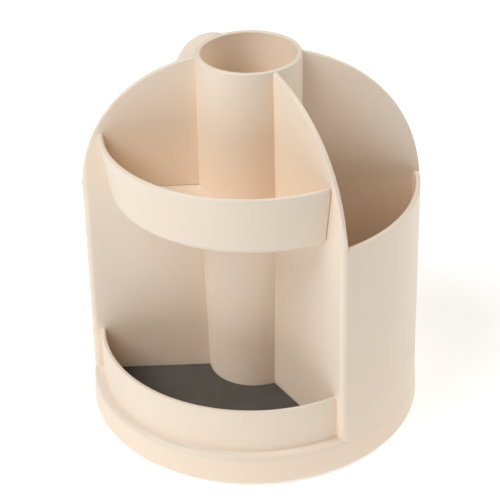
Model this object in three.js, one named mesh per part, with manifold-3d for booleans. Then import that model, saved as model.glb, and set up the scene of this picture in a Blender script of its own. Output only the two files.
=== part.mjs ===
// Rotating pen holder, in millimetres, +Z up, standing on the plane Z = 0 with the turning axis on Z.
// One moulded organizer turns on a ball race that is hidden under its skirt. The front of the
// organizer faces -Y. Four arched dividers stand round a pen tube, along two planes that cross on
// the axis. They make two wide two-tier sectors (front and rear) and two deep bins (right and left).

import * as THREE from "three";
import { mergeVertices } from "three/addons/utils/BufferGeometryUtils.js";
import Module from "manifold-3d";

const wasm = await Module();
wasm.setup();

// Driving sizes of the organizer
const SKIRT_RADIUS = 75;
const SKIRT_GAP = 1.5; // between the skirt and the desk
const SKIRT_DRAFT = 0.5; // how far the skirt leans in up to the ring
const TUBE_TOP = 171;
const WALL = 2.2;
const DIVIDER = 2.1;
const DIVIDER_SHIFT = 0.2; // from a crossing plane to the face that looks into a bin
const DIVIDER_FACE = DIVIDER_SHIFT + DIVIDER; // from a crossing plane to the face of a wide sector
const CLEARANCE = 0.3; // between pieces that seat or run on each other
const OVERRUN = 4; // how far a cutting tool runs past what it cuts

// Floor, ring and skirt
const FLOOR_UNDERSIDE = 9.6;
const FLOOR_THICKNESS = 2.3;
const FLOOR_TOP = FLOOR_UNDERSIDE + FLOOR_THICKNESS;
const MAT_THICKNESS = 2.3;
const MAT_UNDERSIDE = FLOOR_TOP + CLEARANCE;
const MAT_TOP = MAT_UNDERSIDE + MAT_THICKNESS;
const RING_TOP = 15.2;
const RING_ROUND = 2.8;
const SKIRT_CHAMFER = 0.6;
const RING_REVEAL = 0.2; // the bin walls stand this far inside the ring

// Low front and rear walls
const LOW_WALL_RADIUS = 70.2;
const LOW_WALL_TOP = 36.1;
const LOW_WALL = 1.9;
const LOW_WALL_LEAN = 0.3;
const RIM_ROUND = 0.9;
const FOOT_FILLET = 0.8;

// Deep bins
const BIN_HALF_ANGLE = Math.PI / 6;
const BIN_TOP = 111.4;
const BIN_CORNER = 3;
const BIN_INNER_CORNER = 0.8;
const BIN_WALL_DRAFT = 0.8; // how far the wall leans in between the ring and the bin's top

// Arched dividers: a full-shouldered ellipse from the pen tube's rim down to the bin walls
const ARCH_REACH = 73.6;
const ARCH_SPRING = 103.5;
const ARCH_FULLNESS_SHARE = 1.1; // 1 would be a plain ellipse
const ARCH_DROP = 0.9; // below the tube's rim where the arch starts

// Pen tube
const TUBE_RADIUS_TOP = 22.4;
const TUBE_RADIUS_WAIST = 22.8; // at the trays
const TUBE_RADIUS_FOOT = 20.7;
const TUBE_FLOOR_TOP = 50;

// Upper trays
const TRAY_FLOOR_UNDERSIDE = 108;
const TRAY_FLOOR = 1.8;
const TRAY_TOP = 136.4;
const TRAY_RADIUS_TOP = 64.8;
const TRAY_RADIUS_FOOT = 60.8;
const TRAY_WALL = 2;
const TRAY_ROUND = 5;

// Brackets that carry the trays, and the pegs that locate them
const BRACKET_THICKNESS = 2;
const BRACKET_DEPTH = 6;
const BRACKET_LENGTH = 14;
const BRACKET_RADIUS = 38;
const BRACKET_GUSSET = 5;
const PEG_RADIUS = 1.2;
const PEG_LENGTH = 3.6;

// Underside of the organizer
const RIB_COUNT = 12;
const RIB_THICKNESS = 1.6;
const RIB_INNER_RADIUS = 55;
const RIB_DEPTH = 4;
const BOSS_COUNT = 4;
const BOSS_CIRCLE = 15;
const BOSS_RADIUS = 4.2;
const BOSS_HEIGHT = 15;

// Bearing
const BALL_COUNT = 12;
const BALL_RADIUS = 2;
const RACE_RADIUS = 45;
const RACE_WIDTH = 8;
const RACE_LAND = 0.9; // from a race's face to the middle plane of the balls
const CAGE_THICKNESS = 1.2;
const CAGE_WIDTH = 9;

// Turntable plate, fixed under the organizer
const PLATE_RADIUS = 52;
const PLATE_THICKNESS = 1.4;
const PLATE_TOP = FLOOR_UNDERSIDE - CLEARANCE;
const PLATE_UNDERSIDE = PLATE_TOP - PLATE_THICKNESS;
const HUB_RADIUS = 7;
const HUB_UNDERSIDE = 7;
const HUB_TOP = 20;
const HUB_HOLE_TOP = 18;

// Base disc, which stands still on the desk
const BASE_RADIUS = 60;
const BASE_UNDERSIDE = 1.3;
const BASE_THICKNESS = 2.2;
const BASE_TOP = BASE_UNDERSIDE + BASE_THICKNESS;
const BASE_LIP_HEIGHT = 1.1;
const BASE_LIP_WIDTH = 2;
const BASE_HUB_RADIUS = 10;
const BASE_HUB_TOP = 5.6;
const COUNTERBORE_RADIUS = 6.2;
const COUNTERBORE_TOP = 3.9;

// Bush, washer, pivot screw and plate screws
const PIVOT_RADIUS = 2.3;
const PIVOT_TOP = 17;
const PIVOT_HEAD_RADIUS = 5;
const PIVOT_HEAD_THICKNESS = 1.5;
const WASHER_RADIUS = 5.6;
const WASHER_THICKNESS = 0.6;
const BUSH_WALL = 1.6;
const BUSH_FLANGE_RADIUS = 6.5;
const BUSH_FLANGE_THICKNESS = 0.8;
const SCREW_RADIUS = 1.3;
const SCREW_TOP = 20;
const SCREW_HEAD_RADIUS = 2.8;
const SCREW_HEAD_THICKNESS = 1.6;
const DRIVE_WIDTH = 0.8;
const DRIVE_DEPTH = 0.7;

// Feet
const FOOT_COUNT = 6;
const FOOT_RADIUS = 6.5;
const FOOT_THICKNESS = 2;
const FOOT_CIRCLE = 50;
const FOOT_EDGE = 0.4;

// Facets
const ROUND_STEPS = 60;
const DISC_STEPS = 36;
const SMALL_STEPS = 20;
const SCREW_STEPS = 10;
const BALL_STEPS = 8;
const ARCH_STEPS = 18;
const CORNER_STEPS = 4;
const WALL_STEPS = 10;
const ROUND_ARC_STEPS = 3;

// Materials
const shellPlastic = new THREE.MeshStandardMaterial({ color: 0xeadbc8, roughness: 0.5, metalness: 0 });
const matFoam = new THREE.MeshStandardMaterial({ color: 0x3a3633, roughness: 0.9, metalness: 0 });
const bearingPlastic = new THREE.MeshStandardMaterial({ color: 0xd8d4cc, roughness: 0.5, metalness: 0 });
const cagePlastic = new THREE.MeshStandardMaterial({ color: 0xf2f0ea, roughness: 0.4, metalness: 0 });
const steel = new THREE.MeshStandardMaterial({ color: 0xc9ccd0, roughness: 0.25, metalness: 1 });
const footRubber = new THREE.MeshStandardMaterial({ color: 0x2b2a29, roughness: 0.95, metalness: 0 });

// A three.js geometry as a solid that can be joined and cut
function toSolid(geometry) {
  const bare = new THREE.BufferGeometry();
  bare.setAttribute("position", geometry.getAttribute("position"));
  if (geometry.index) bare.setIndex(geometry.index);
  const merged = mergeVertices(bare, 1e-4);
  const mesh = new wasm.Mesh({
    numProp: 3,
    vertProperties: new Float32Array(merged.attributes.position.array),
    triVerts: new Uint32Array(merged.index.array),
  });
  return new wasm.Manifold(mesh);
}

// A joined or cut solid back as a three.js geometry
function toGeometry(solid) {
  const mesh = solid.getMesh();
  const geometry = new THREE.BufferGeometry();
  geometry.setAttribute("position", new THREE.BufferAttribute(mesh.vertProperties, 3));
  geometry.setIndex(new THREE.BufferAttribute(mesh.triVerts, 1));
  geometry.computeVertexNormals();
  return geometry;
}

// A solid of revolution about Z. The profile holds [radius, height] pairs, anticlockwise from the axis.
function revolve(profile, steps = ROUND_STEPS) {
  const points = profile.map(([r, z]) => new THREE.Vector2(r, z));
  const closes = profile[0][0] > 0;
  if (closes) points.push(points[0].clone());
  const geometry = new THREE.LatheGeometry(points, steps);
  geometry.rotateX(Math.PI / 2);
  return toSolid(geometry);
}

// An outline of [x, y] pairs pulled up from one height to another
function prism(outline, from, to) {
  const shape = new THREE.Shape(outline.map(([x, y]) => new THREE.Vector2(x, y)));
  const geometry = new THREE.ExtrudeGeometry(shape, { depth: to - from, bevelEnabled: false });
  geometry.translate(0, 0, from);
  return toSolid(geometry);
}

// A closed solid through outlines that all have the same number of points, each at its own height
function loft(levels) {
  const count = levels[0].outline.length;
  const positions = levels.flatMap(({ outline, z }) => outline.flatMap(([x, y]) => [x, y, z]));
  const index = [];
  for (let level = 0; level + 1 < levels.length; level++) {
    for (let i = 0; i < count; i++) {
      const a = level * count + i;
      const b = level * count + ((i + 1) % count);
      index.push(a, b, b + count, a, b + count, a + count);
    }
  }
  const flat = levels[0].outline.map(([x, y]) => new THREE.Vector2(x, y));
  const topStart = (levels.length - 1) * count;
  for (const [a, b, c] of THREE.ShapeUtils.triangulateShape(flat, [])) {
    index.push(a, c, b, topStart + a, topStart + b, topStart + c);
  }
  const geometry = new THREE.BufferGeometry();
  geometry.setAttribute("position", new THREE.Float32BufferAttribute(positions, 3));
  geometry.setIndex(index);
  return toSolid(geometry);
}

function cylinder(radius, from, to, steps = SMALL_STEPS) {
  const geometry = new THREE.CylinderGeometry(radius, radius, to - from, steps);
  geometry.rotateX(Math.PI / 2);
  geometry.translate(0, 0, (from + to) / 2);
  return toSolid(geometry);
}

function box(from, to) {
  const geometry = new THREE.BoxGeometry(to[0] - from[0], to[1] - from[1], to[2] - from[2]);
  geometry.translate((from[0] + to[0]) / 2, (from[1] + to[1]) / 2, (from[2] + to[2]) / 2);
  return toSolid(geometry);
}

const degrees = (angle) => (angle * 180) / Math.PI;
const turned = (solid, angle) => solid.rotate([0, 0, degrees(angle)]);
const joined = (solids) => solids.reduce((all, one) => all.add(one));

// Evenly spaced angles round the axis
function around(count, phase = 0) {
  return Array.from({ length: count }, (_, i) => phase + (2 * Math.PI * i) / count);
}

// A point at a distance from the axis
const polar = (radius, angle, z = 0) => [radius * Math.cos(angle), radius * Math.sin(angle), z];

// Points of an arc of [x, y] pairs, both ends included
function arc(cx, cy, radius, from, to, steps) {
  return Array.from({ length: steps + 1 }, (_, i) => {
    const angle = from + ((to - from) * i) / steps;
    return [cx + radius * Math.cos(angle), cy + radius * Math.sin(angle)];
  });
}

// The plan of a bin that opens towards +X. Its straight sides lie offset outside the crossing
// planes, and its outer corners are rounded where they meet the curved wall.
function binPlan(radius, offset, corner) {
  const alongX = Math.cos(BIN_HALF_ANGLE);
  const alongY = Math.sin(BIN_HALF_ANGLE);
  const side = offset - corner;
  const reach = Math.sqrt((radius - corner) ** 2 - side ** 2);
  const centre = [reach * alongX - side * alongY, reach * alongY + side * alongX];
  const swing = Math.atan2(centre[1], centre[0]);
  const upperCorner = arc(centre[0], centre[1], corner, swing, BIN_HALF_ANGLE + Math.PI / 2, CORNER_STEPS);
  const lowerCorner = upperCorner.map(([x, y]) => [x, -y]).reverse();
  const wall = arc(0, 0, radius, -swing, swing, WALL_STEPS).slice(1, -1);
  const apex = [-offset / alongY, 0];
  return [apex, ...lowerCorner, ...wall, ...upperCorner];
}

// The plan of a sector that opens towards +X, with its sides drawn in from the crossing planes
function sectorPlan(halfAngle, inset, radius) {
  const apex = inset / Math.sin(halfAngle);
  return [
    [apex, 0],
    [apex + radius * Math.cos(halfAngle), -radius * Math.sin(halfAngle)],
    [apex + 2 * radius, -radius * Math.sin(halfAngle)],
    [apex + 2 * radius, radius * Math.sin(halfAngle)],
    [apex + radius * Math.cos(halfAngle), radius * Math.sin(halfAngle)],
  ];
}

const RING_RADIUS = SKIRT_RADIUS - SKIRT_DRAFT;
const RIGHT = 0;
const LEFT = Math.PI;
const FRONT = -Math.PI / 2;
const REAR = Math.PI / 2;
const SECTOR_HALF_ANGLE = Math.PI / 2 - BIN_HALF_ANGLE;
const ARCH_TOP = TUBE_TOP - ARCH_DROP;

// Outer radius of a bin wall at a height
function binWallRadius(z) {
  const straight = RING_TOP - RING_ROUND;
  const lean = (BIN_WALL_DRAFT * Math.max(0, z - straight)) / (BIN_TOP - straight);
  return RING_RADIUS - RING_REVEAL - lean;
}

// Outer radius of the pen tube at a height. It is widest at the trays.
function tubeRadius(z) {
  const share = (z - TRAY_FLOOR_UNDERSIDE) / (TUBE_TOP - TRAY_FLOOR_UNDERSIDE);
  if (share > 0) return TUBE_RADIUS_WAIST + (TUBE_RADIUS_TOP - TUBE_RADIUS_WAIST) * share;
  const depthShare = (TRAY_FLOOR_UNDERSIDE - z) / (TRAY_FLOOR_UNDERSIDE - FLOOR_UNDERSIDE);
  return TUBE_RADIUS_WAIST + (TUBE_RADIUS_FOOT - TUBE_RADIUS_WAIST) * depthShare;
}

// The arched edge of the dividers, as [radius, height] at an angle of its quarter ellipse
const archPower = 2 * ARCH_FULLNESS_SHARE;
const tubeShare = tubeRadius(ARCH_TOP) / ARCH_REACH;
const ARCH_RISE = (ARCH_TOP - ARCH_SPRING) / (1 - tubeShare ** archPower) ** (1 / archPower);
function archPoint(angle) {
  const across = Math.cos(angle) ** (1 / ARCH_FULLNESS_SHARE);
  const up = Math.sin(angle) ** (1 / ARCH_FULLNESS_SHARE);
  return [ARCH_REACH * across, ARCH_SPRING + ARCH_RISE * up];
}

// Organizer body

// Skirt, ring, floor and the low walls, as one profile turned about the axis
function basePan() {
  const skirtInner = SKIRT_RADIUS - WALL;
  const lowInner = LOW_WALL_RADIUS - LOW_WALL;
  const rimZ = LOW_WALL_TOP - RIM_ROUND;
  const quarter = Math.PI / 2;
  const ringCentre = [RING_RADIUS - RING_ROUND, RING_TOP - RING_ROUND];
  const footCentre = [LOW_WALL_RADIUS + FOOT_FILLET, RING_TOP + FOOT_FILLET];
  const outerCentre = [LOW_WALL_RADIUS - LOW_WALL_LEAN - RIM_ROUND, rimZ];
  const innerCentre = [lowInner - LOW_WALL_LEAN + RIM_ROUND, rimZ];
  const ring = arc(...ringCentre, RING_ROUND, 0, quarter, ROUND_ARC_STEPS);
  const foot = arc(...footCentre, FOOT_FILLET, -quarter, -Math.PI, 2);
  const outerRim = arc(...outerCentre, RIM_ROUND, 0, quarter, ROUND_ARC_STEPS);
  const innerRim = arc(...innerCentre, RIM_ROUND, quarter, Math.PI, ROUND_ARC_STEPS);
  return revolve([
    [0, FLOOR_UNDERSIDE],
    [skirtInner, FLOOR_UNDERSIDE],
    [skirtInner, SKIRT_GAP],
    [SKIRT_RADIUS - SKIRT_CHAMFER, SKIRT_GAP],
    [SKIRT_RADIUS, SKIRT_GAP + SKIRT_CHAMFER],
    ...ring,
    ...foot,
    ...outerRim,
    ...innerRim,
    [lowInner, FLOOR_TOP],
    [0, FLOOR_TOP],
  ]);
}

// A bin's outer form, or the space inside it
function binSolid(offset, corner, inset, from, to) {
  const straight = RING_TOP - RING_ROUND;
  const heights = from < straight ? [from, straight, to] : [from, to];
  return loft(heights.map((z) => ({ z, outline: binPlan(binWallRadius(z) - inset, offset, corner) })));
}

// Everything above the arched edge of the dividers, which ends on the rim of the bin walls
function archCutter() {
  const reach = SKIRT_RADIUS + OVERRUN;
  const peak = ARCH_SPRING + ARCH_RISE;
  const rimAngle = Math.asin(((BIN_TOP - ARCH_SPRING) / ARCH_RISE) ** ARCH_FULLNESS_SHARE);
  const edge = Array.from({ length: ARCH_STEPS }, (_, i) => {
    const share = 1 - (i + 1) / ARCH_STEPS;
    return archPoint(rimAngle + (Math.PI / 2 - rimAngle) * share);
  });
  return revolve([
    [0, peak],
    ...edge,
    [reach, BIN_TOP],
    [reach, peak + OVERRUN],
    [0, peak + OVERRUN],
  ]);
}

// The opening over a bin's wall, between the inner faces of its dividers
function binMouthCutter() {
  const apex = -DIVIDER_SHIFT / Math.sin(BIN_HALF_ANGLE);
  const reach = SKIRT_RADIUS + OVERRUN;
  const spread = (reach - apex) * Math.tan(BIN_HALF_ANGLE);
  return prism([[apex, 0], [reach, -spread], [reach, spread]], BIN_TOP, ARCH_TOP + OVERRUN);
}

// The pen tube's outside, with a rounded rim
function tubeOutside() {
  const rimRadius = tubeRadius(TUBE_TOP) - RIM_ROUND;
  return revolve([
    [0, FLOOR_UNDERSIDE],
    [TUBE_RADIUS_FOOT, FLOOR_UNDERSIDE],
    [TUBE_RADIUS_WAIST, TRAY_FLOOR_UNDERSIDE],
    ...arc(rimRadius, TUBE_TOP - RIM_ROUND, RIM_ROUND, 0, Math.PI / 2, ROUND_ARC_STEPS),
    [0, TUBE_TOP],
  ]);
}

// The space for pens, flared a little at the rim
function tubeBore() {
  const flareRadius = tubeRadius(TUBE_TOP) - WALL + RIM_ROUND;
  const flareZ = TUBE_TOP - RIM_ROUND;
  return revolve([
    [0, TUBE_FLOOR_TOP],
    [tubeRadius(TUBE_FLOOR_TOP) - WALL, TUBE_FLOOR_TOP],
    ...arc(flareRadius, flareZ, RIM_ROUND, Math.PI, Math.PI / 2, ROUND_ARC_STEPS),
    [flareRadius, TUBE_TOP + OVERRUN],
    [0, TUBE_TOP + OVERRUN],
  ]);
}

// The hollow under the tube's raised floor, which the turntable's hub stands in
function tubeUndercut() {
  const ceiling = TUBE_FLOOR_TOP - FLOOR_THICKNESS;
  return revolve([
    [0, FLOOR_UNDERSIDE - OVERRUN],
    [TUBE_RADIUS_FOOT - WALL, FLOOR_UNDERSIDE - OVERRUN],
    [tubeRadius(ceiling) - WALL, ceiling],
    [0, ceiling],
  ]);
}

// A bracket on the side of a divider, in the frame of a sector that opens towards +X
const BRACKET_TOP = TRAY_FLOOR_UNDERSIDE - CLEARANCE;
const PEG_OFFSET = BRACKET_DEPTH / 2;

function bracket() {
  const low = BRACKET_TOP - BRACKET_THICKNESS;
  const start = BRACKET_RADIUS - BRACKET_LENGTH / 2;
  const end = start + BRACKET_LENGTH;
  const root = DIVIDER / 4; // how deep it is sunk into the divider
  const middle = (low + BRACKET_TOP) / 2;
  const shelf = box([start, -BRACKET_DEPTH, low], [end, root, BRACKET_TOP]);
  const shape = new THREE.Shape();
  shape.moveTo(root, low - BRACKET_GUSSET);
  shape.lineTo(root, middle);
  shape.lineTo(-BRACKET_GUSSET, middle);
  shape.lineTo(-BRACKET_GUSSET, low);
  const geometry = new THREE.ExtrudeGeometry(shape, { depth: BRACKET_THICKNESS, bevelEnabled: false });
  geometry.rotateX(Math.PI / 2);
  geometry.rotateZ(Math.PI / 2);
  const gusset = toSolid(geometry);
  const gussets = [start, end - BRACKET_THICKNESS].map((x) => gusset.translate([x, 0, 0]));
  const hole = cylinder(PEG_RADIUS + CLEARANCE, low - OVERRUN, BRACKET_TOP + OVERRUN)
    .translate([BRACKET_RADIUS, -PEG_OFFSET, 0]);
  return joined([shelf, ...gussets]).subtract(hole).translate([0, -DIVIDER_FACE, 0]);
}

// Both brackets of a sector that opens towards +X, one on each divider
function bracketPair() {
  const one = turned(bracket(), SECTOR_HALF_ANGLE);
  return one.add(one.mirror([0, 1, 0]));
}

function undersideRib() {
  const outer = SKIRT_RADIUS - WALL / 2;
  const low = FLOOR_UNDERSIDE - RIB_DEPTH;
  const half = RIB_THICKNESS / 2;
  return box([RIB_INNER_RADIUS, -half, low], [outer, half, FLOOR_UNDERSIDE + FLOOR_THICKNESS / 2]);
}

function organizerBody() {
  const sides = [RIGHT, LEFT];
  const outside = binSolid(DIVIDER_FACE, BIN_CORNER, 0, FLOOR_UNDERSIDE, ARCH_TOP);
  const inside = binSolid(DIVIDER_SHIFT, BIN_INNER_CORNER, WALL, FLOOR_TOP, ARCH_TOP + OVERRUN);
  let body = joined([basePan(), ...sides.map((side) => turned(outside, side))]);
  for (const side of sides) {
    body = body.subtract(turned(inside, side));
    body = body.subtract(turned(binMouthCutter(), side));
  }
  body = body.subtract(archCutter());
  body = joined([body, tubeOutside()]).subtract(tubeBore()).subtract(tubeUndercut());
  for (const side of [FRONT, REAR]) {
    body = body.add(turned(bracketPair(), side));
  }
  for (const angle of around(RIB_COUNT, Math.PI / RIB_COUNT)) {
    body = body.add(turned(undersideRib(), angle));
  }
  for (const angle of around(BOSS_COUNT, Math.PI / BOSS_COUNT)) {
    const post = cylinder(BOSS_RADIUS, FLOOR_UNDERSIDE, FLOOR_UNDERSIDE + BOSS_HEIGHT);
    const pilot = cylinder(SCREW_RADIUS + CLEARANCE, FLOOR_UNDERSIDE - OVERRUN, SCREW_TOP + CLEARANCE);
    const at = polar(BOSS_CIRCLE, angle);
    body = body.add(post.translate(at)).subtract(pilot.translate(at));
  }
  return body;
}

// Upper tray: a sector floor and a curved, leaning front wall, in a sector that opens towards +X
function upperTray() {
  const inner = tubeRadius(TRAY_FLOOR_UNDERSIDE + TRAY_FLOOR) + CLEARANCE;
  const floorTop = TRAY_FLOOR_UNDERSIDE + TRAY_FLOOR;
  const lean = Math.atan2(TRAY_RADIUS_TOP - TRAY_RADIUS_FOOT, TRAY_TOP - TRAY_FLOOR_UNDERSIDE);
  const innerRound = TRAY_ROUND - TRAY_WALL;
  const rim = TRAY_WALL / 2;
  const outerCurve = arc(
    TRAY_RADIUS_FOOT - TRAY_ROUND * (1 - Math.sin(lean)),
    TRAY_FLOOR_UNDERSIDE + TRAY_ROUND,
    TRAY_ROUND,
    -Math.PI / 2,
    -lean,
    CORNER_STEPS,
  );
  const innerCurve = arc(
    TRAY_RADIUS_FOOT - TRAY_WALL - innerRound * (1 - Math.sin(lean)),
    floorTop + innerRound,
    innerRound,
    -lean,
    -Math.PI / 2,
    CORNER_STEPS,
  );
  const rimCurve = arc(TRAY_RADIUS_TOP - rim, TRAY_TOP - rim, rim, -lean, Math.PI - lean, CORNER_STEPS);
  const ring = revolve([
    [inner, TRAY_FLOOR_UNDERSIDE],
    ...outerCurve,
    ...rimCurve,
    ...innerCurve,
    [inner, floorTop],
  ]);
  const plan = sectorPlan(SECTOR_HALF_ANGLE, DIVIDER_FACE + CLEARANCE, SKIRT_RADIUS);
  const sector = prism(plan, TRAY_FLOOR_UNDERSIDE - OVERRUN, TRAY_TOP + OVERRUN);
  const peg = cylinder(PEG_RADIUS, TRAY_FLOOR_UNDERSIDE - PEG_LENGTH, floorTop - TRAY_FLOOR / 2)
    .translate([BRACKET_RADIUS, -PEG_OFFSET - DIVIDER_FACE, 0]);
  const turnedPeg = turned(peg, SECTOR_HALF_ANGLE);
  return joined([ring.intersect(sector), turnedPeg, turnedPeg.mirror([0, 1, 0])]);
}

// Mats

function lowerTierMat() {
  const plan = sectorPlan(SECTOR_HALF_ANGLE, DIVIDER_FACE + CLEARANCE, SKIRT_RADIUS);
  const inner = tubeRadius(MAT_TOP) + CLEARANCE;
  const outer = LOW_WALL_RADIUS - LOW_WALL - LOW_WALL_LEAN - CLEARANCE;
  const ring = revolve([[inner, MAT_UNDERSIDE], [outer, MAT_UNDERSIDE], [outer, MAT_TOP], [inner, MAT_TOP]]);
  return ring.intersect(prism(plan, MAT_UNDERSIDE - OVERRUN, MAT_TOP + OVERRUN));
}

function binMat() {
  const radius = binWallRadius(MAT_TOP) - WALL - CLEARANCE;
  const plan = binPlan(radius, DIVIDER_SHIFT - CLEARANCE, BIN_INNER_CORNER);
  const tube = tubeRadius(MAT_TOP) + CLEARANCE;
  const tubeCutter = cylinder(tube, MAT_UNDERSIDE - OVERRUN, MAT_TOP + OVERRUN, ROUND_STEPS);
  return prism(plan, MAT_UNDERSIDE, MAT_TOP).subtract(tubeCutter);
}

function penTubeMat() {
  const underside = TUBE_FLOOR_TOP + CLEARANCE;
  const radius = tubeRadius(TUBE_FLOOR_TOP) - WALL - CLEARANCE;
  return cylinder(radius, underside, underside + MAT_THICKNESS, ROUND_STEPS);
}

// Bearing: a race in the turntable plate, a race in the base disc, and a cage of balls between them
const BASE_RACE_TOP = BASE_TOP + BASE_LIP_HEIGHT;
const BALL_CENTRE = BASE_RACE_TOP + RACE_LAND;
const PLATE_RACE_UNDERSIDE = BALL_CENTRE + RACE_LAND;

function ballGroove() {
  const groove = BALL_RADIUS + CLEARANCE;
  const circle = arc(RACE_RADIUS, BALL_CENTRE, groove, 0, 2 * Math.PI, BALL_STEPS).slice(0, -1);
  return revolve(circle, DISC_STEPS);
}

function turntablePlate() {
  const raceInner = RACE_RADIUS - RACE_WIDTH / 2;
  const raceOuter = RACE_RADIUS + RACE_WIDTH / 2;
  const plate = revolve([
    [0, HUB_UNDERSIDE],
    [HUB_RADIUS, HUB_UNDERSIDE],
    [HUB_RADIUS, PLATE_UNDERSIDE],
    [raceInner, PLATE_UNDERSIDE],
    [raceInner, PLATE_RACE_UNDERSIDE],
    [raceOuter, PLATE_RACE_UNDERSIDE],
    [raceOuter, PLATE_UNDERSIDE],
    [PLATE_RADIUS, PLATE_UNDERSIDE],
    [PLATE_RADIUS, PLATE_TOP],
    [HUB_RADIUS, PLATE_TOP],
    [HUB_RADIUS, HUB_TOP],
    [0, HUB_TOP],
  ], DISC_STEPS);
  let made = plate.subtract(ballGroove());
  made = made.subtract(cylinder(PIVOT_RADIUS + CLEARANCE, HUB_UNDERSIDE - OVERRUN, HUB_HOLE_TOP));
  for (const angle of around(BOSS_COUNT, Math.PI / BOSS_COUNT)) {
    const hole = cylinder(SCREW_RADIUS + CLEARANCE, HUB_UNDERSIDE - OVERRUN, PLATE_TOP + OVERRUN);
    made = made.subtract(hole.translate(polar(BOSS_CIRCLE, angle)));
  }
  return made;
}

function baseDisc() {
  const raceInner = RACE_RADIUS - RACE_WIDTH / 2;
  const raceOuter = RACE_RADIUS + RACE_WIDTH / 2;
  const bushHole = PIVOT_RADIUS + CLEARANCE + BUSH_WALL + CLEARANCE;
  let disc = revolve([
    [bushHole, COUNTERBORE_TOP],
    [COUNTERBORE_RADIUS, COUNTERBORE_TOP],
    [COUNTERBORE_RADIUS, BASE_UNDERSIDE],
    [BASE_RADIUS, BASE_UNDERSIDE],
    [BASE_RADIUS, BASE_TOP + BASE_LIP_HEIGHT],
    [BASE_RADIUS - BASE_LIP_WIDTH, BASE_TOP + BASE_LIP_HEIGHT],
    [BASE_RADIUS - BASE_LIP_WIDTH, BASE_TOP],
    [raceOuter, BASE_TOP],
    [raceOuter, BASE_RACE_TOP],
    [raceInner, BASE_RACE_TOP],
    [raceInner, BASE_TOP],
    [BASE_HUB_RADIUS, BASE_TOP],
    [BASE_HUB_RADIUS, BASE_HUB_TOP],
    [bushHole, BASE_HUB_TOP],
  ], DISC_STEPS);
  disc = disc.subtract(ballGroove());
  const recess = cylinder(FOOT_RADIUS + CLEARANCE, BASE_UNDERSIDE - OVERRUN, FOOT_THICKNESS + CLEARANCE);
  for (const angle of around(FOOT_COUNT)) {
    disc = disc.subtract(recess.translate(polar(FOOT_CIRCLE, angle)));
  }
  return disc;
}

function ballCage() {
  const low = BALL_CENTRE - CAGE_THICKNESS / 2;
  const high = BALL_CENTRE + CAGE_THICKNESS / 2;
  const inner = RACE_RADIUS - CAGE_WIDTH / 2;
  const outer = RACE_RADIUS + CAGE_WIDTH / 2;
  let cage = revolve([[inner, low], [outer, low], [outer, high], [inner, high]], DISC_STEPS);
  const pocket = cylinder(BALL_RADIUS + CLEARANCE, low - OVERRUN, high + OVERRUN, SCREW_STEPS);
  for (const angle of around(BALL_COUNT)) {
    cage = cage.subtract(pocket.translate(polar(RACE_RADIUS, angle)));
  }
  return cage;
}

function ball() {
  return toSolid(new THREE.SphereGeometry(BALL_RADIUS, BALL_STEPS, BALL_STEPS / 2 + 1));
}

// Pivot

const COUNTERBORE_SEAT = COUNTERBORE_TOP - CLEARANCE;

function pivotWasher() {
  const low = COUNTERBORE_SEAT - WASHER_THICKNESS;
  const hole = PIVOT_RADIUS + CLEARANCE;
  return revolve([
    [hole, low],
    [WASHER_RADIUS, low],
    [WASHER_RADIUS, COUNTERBORE_SEAT],
    [hole, COUNTERBORE_SEAT],
  ], SMALL_STEPS);
}

// A pan-head screw that points up, with a crossed drive in the underside of its head
function screw(radius, top, headRadius, headTop, headThickness) {
  const low = headTop - headThickness;
  const body = revolve([
    [0, low],
    [headRadius - headThickness / 2, low],
    [headRadius, low + headThickness / 2],
    [headRadius, headTop],
    [radius, headTop],
    [radius, top - radius],
    [radius / 2, top],
    [0, top],
  ], SCREW_STEPS);
  const half = DRIVE_WIDTH / 2;
  const reach = headRadius / 2;
  const slot = box([-reach, -half, low - OVERRUN], [reach, half, low + DRIVE_DEPTH]);
  return body.subtract(slot).subtract(turned(slot, Math.PI / 2));
}

function pivotBush() {
  const hole = PIVOT_RADIUS + CLEARANCE;
  const barrel = hole + BUSH_WALL;
  const flangeLow = BASE_HUB_TOP + CLEARANCE;
  const flangeTop = flangeLow + BUSH_FLANGE_THICKNESS;
  return revolve([
    [hole, COUNTERBORE_TOP],
    [barrel, COUNTERBORE_TOP],
    [barrel, flangeLow],
    [BUSH_FLANGE_RADIUS, flangeLow],
    [BUSH_FLANGE_RADIUS, flangeTop],
    [hole, flangeTop],
  ], SMALL_STEPS);
}

function foot() {
  return revolve([
    [0, 0],
    [FOOT_RADIUS - FOOT_EDGE, 0],
    [FOOT_RADIUS, FOOT_EDGE],
    [FOOT_RADIUS, FOOT_THICKNESS],
    [0, FOOT_THICKNESS],
  ], SMALL_STEPS);
}

// Assembly

const penHolder = new THREE.Group();
penHolder.name = "rotating_pen_holder";

function place(name, geometry, material, parent, turn = 0, position = [0, 0, 0]) {
  const mesh = new THREE.Mesh(geometry, material);
  mesh.name = name;
  mesh.rotation.z = turn;
  mesh.position.set(...position);
  parent.add(mesh);
  return mesh;
}

const standingBase = new THREE.Group();
const bearing = new THREE.Group();
const turningOrganizer = new THREE.Group();
penHolder.add(standingBase, bearing, turningOrganizer);

place("organizer_body", toGeometry(organizerBody()), shellPlastic, turningOrganizer);

const trayGeometry = toGeometry(upperTray());
place("front_upper_tray", trayGeometry, shellPlastic, turningOrganizer, FRONT);
place("rear_upper_tray", trayGeometry, shellPlastic, turningOrganizer, REAR);

const tierMatGeometry = toGeometry(lowerTierMat());
place("front_tier_mat", tierMatGeometry, matFoam, turningOrganizer, FRONT);
place("rear_tier_mat", tierMatGeometry, matFoam, turningOrganizer, REAR);

const binMatGeometry = toGeometry(binMat());
place("right_bin_mat", binMatGeometry, matFoam, turningOrganizer, RIGHT);
place("left_bin_mat", binMatGeometry, matFoam, turningOrganizer, LEFT);
place("pen_tube_mat", toGeometry(penTubeMat()), matFoam, turningOrganizer);

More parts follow.
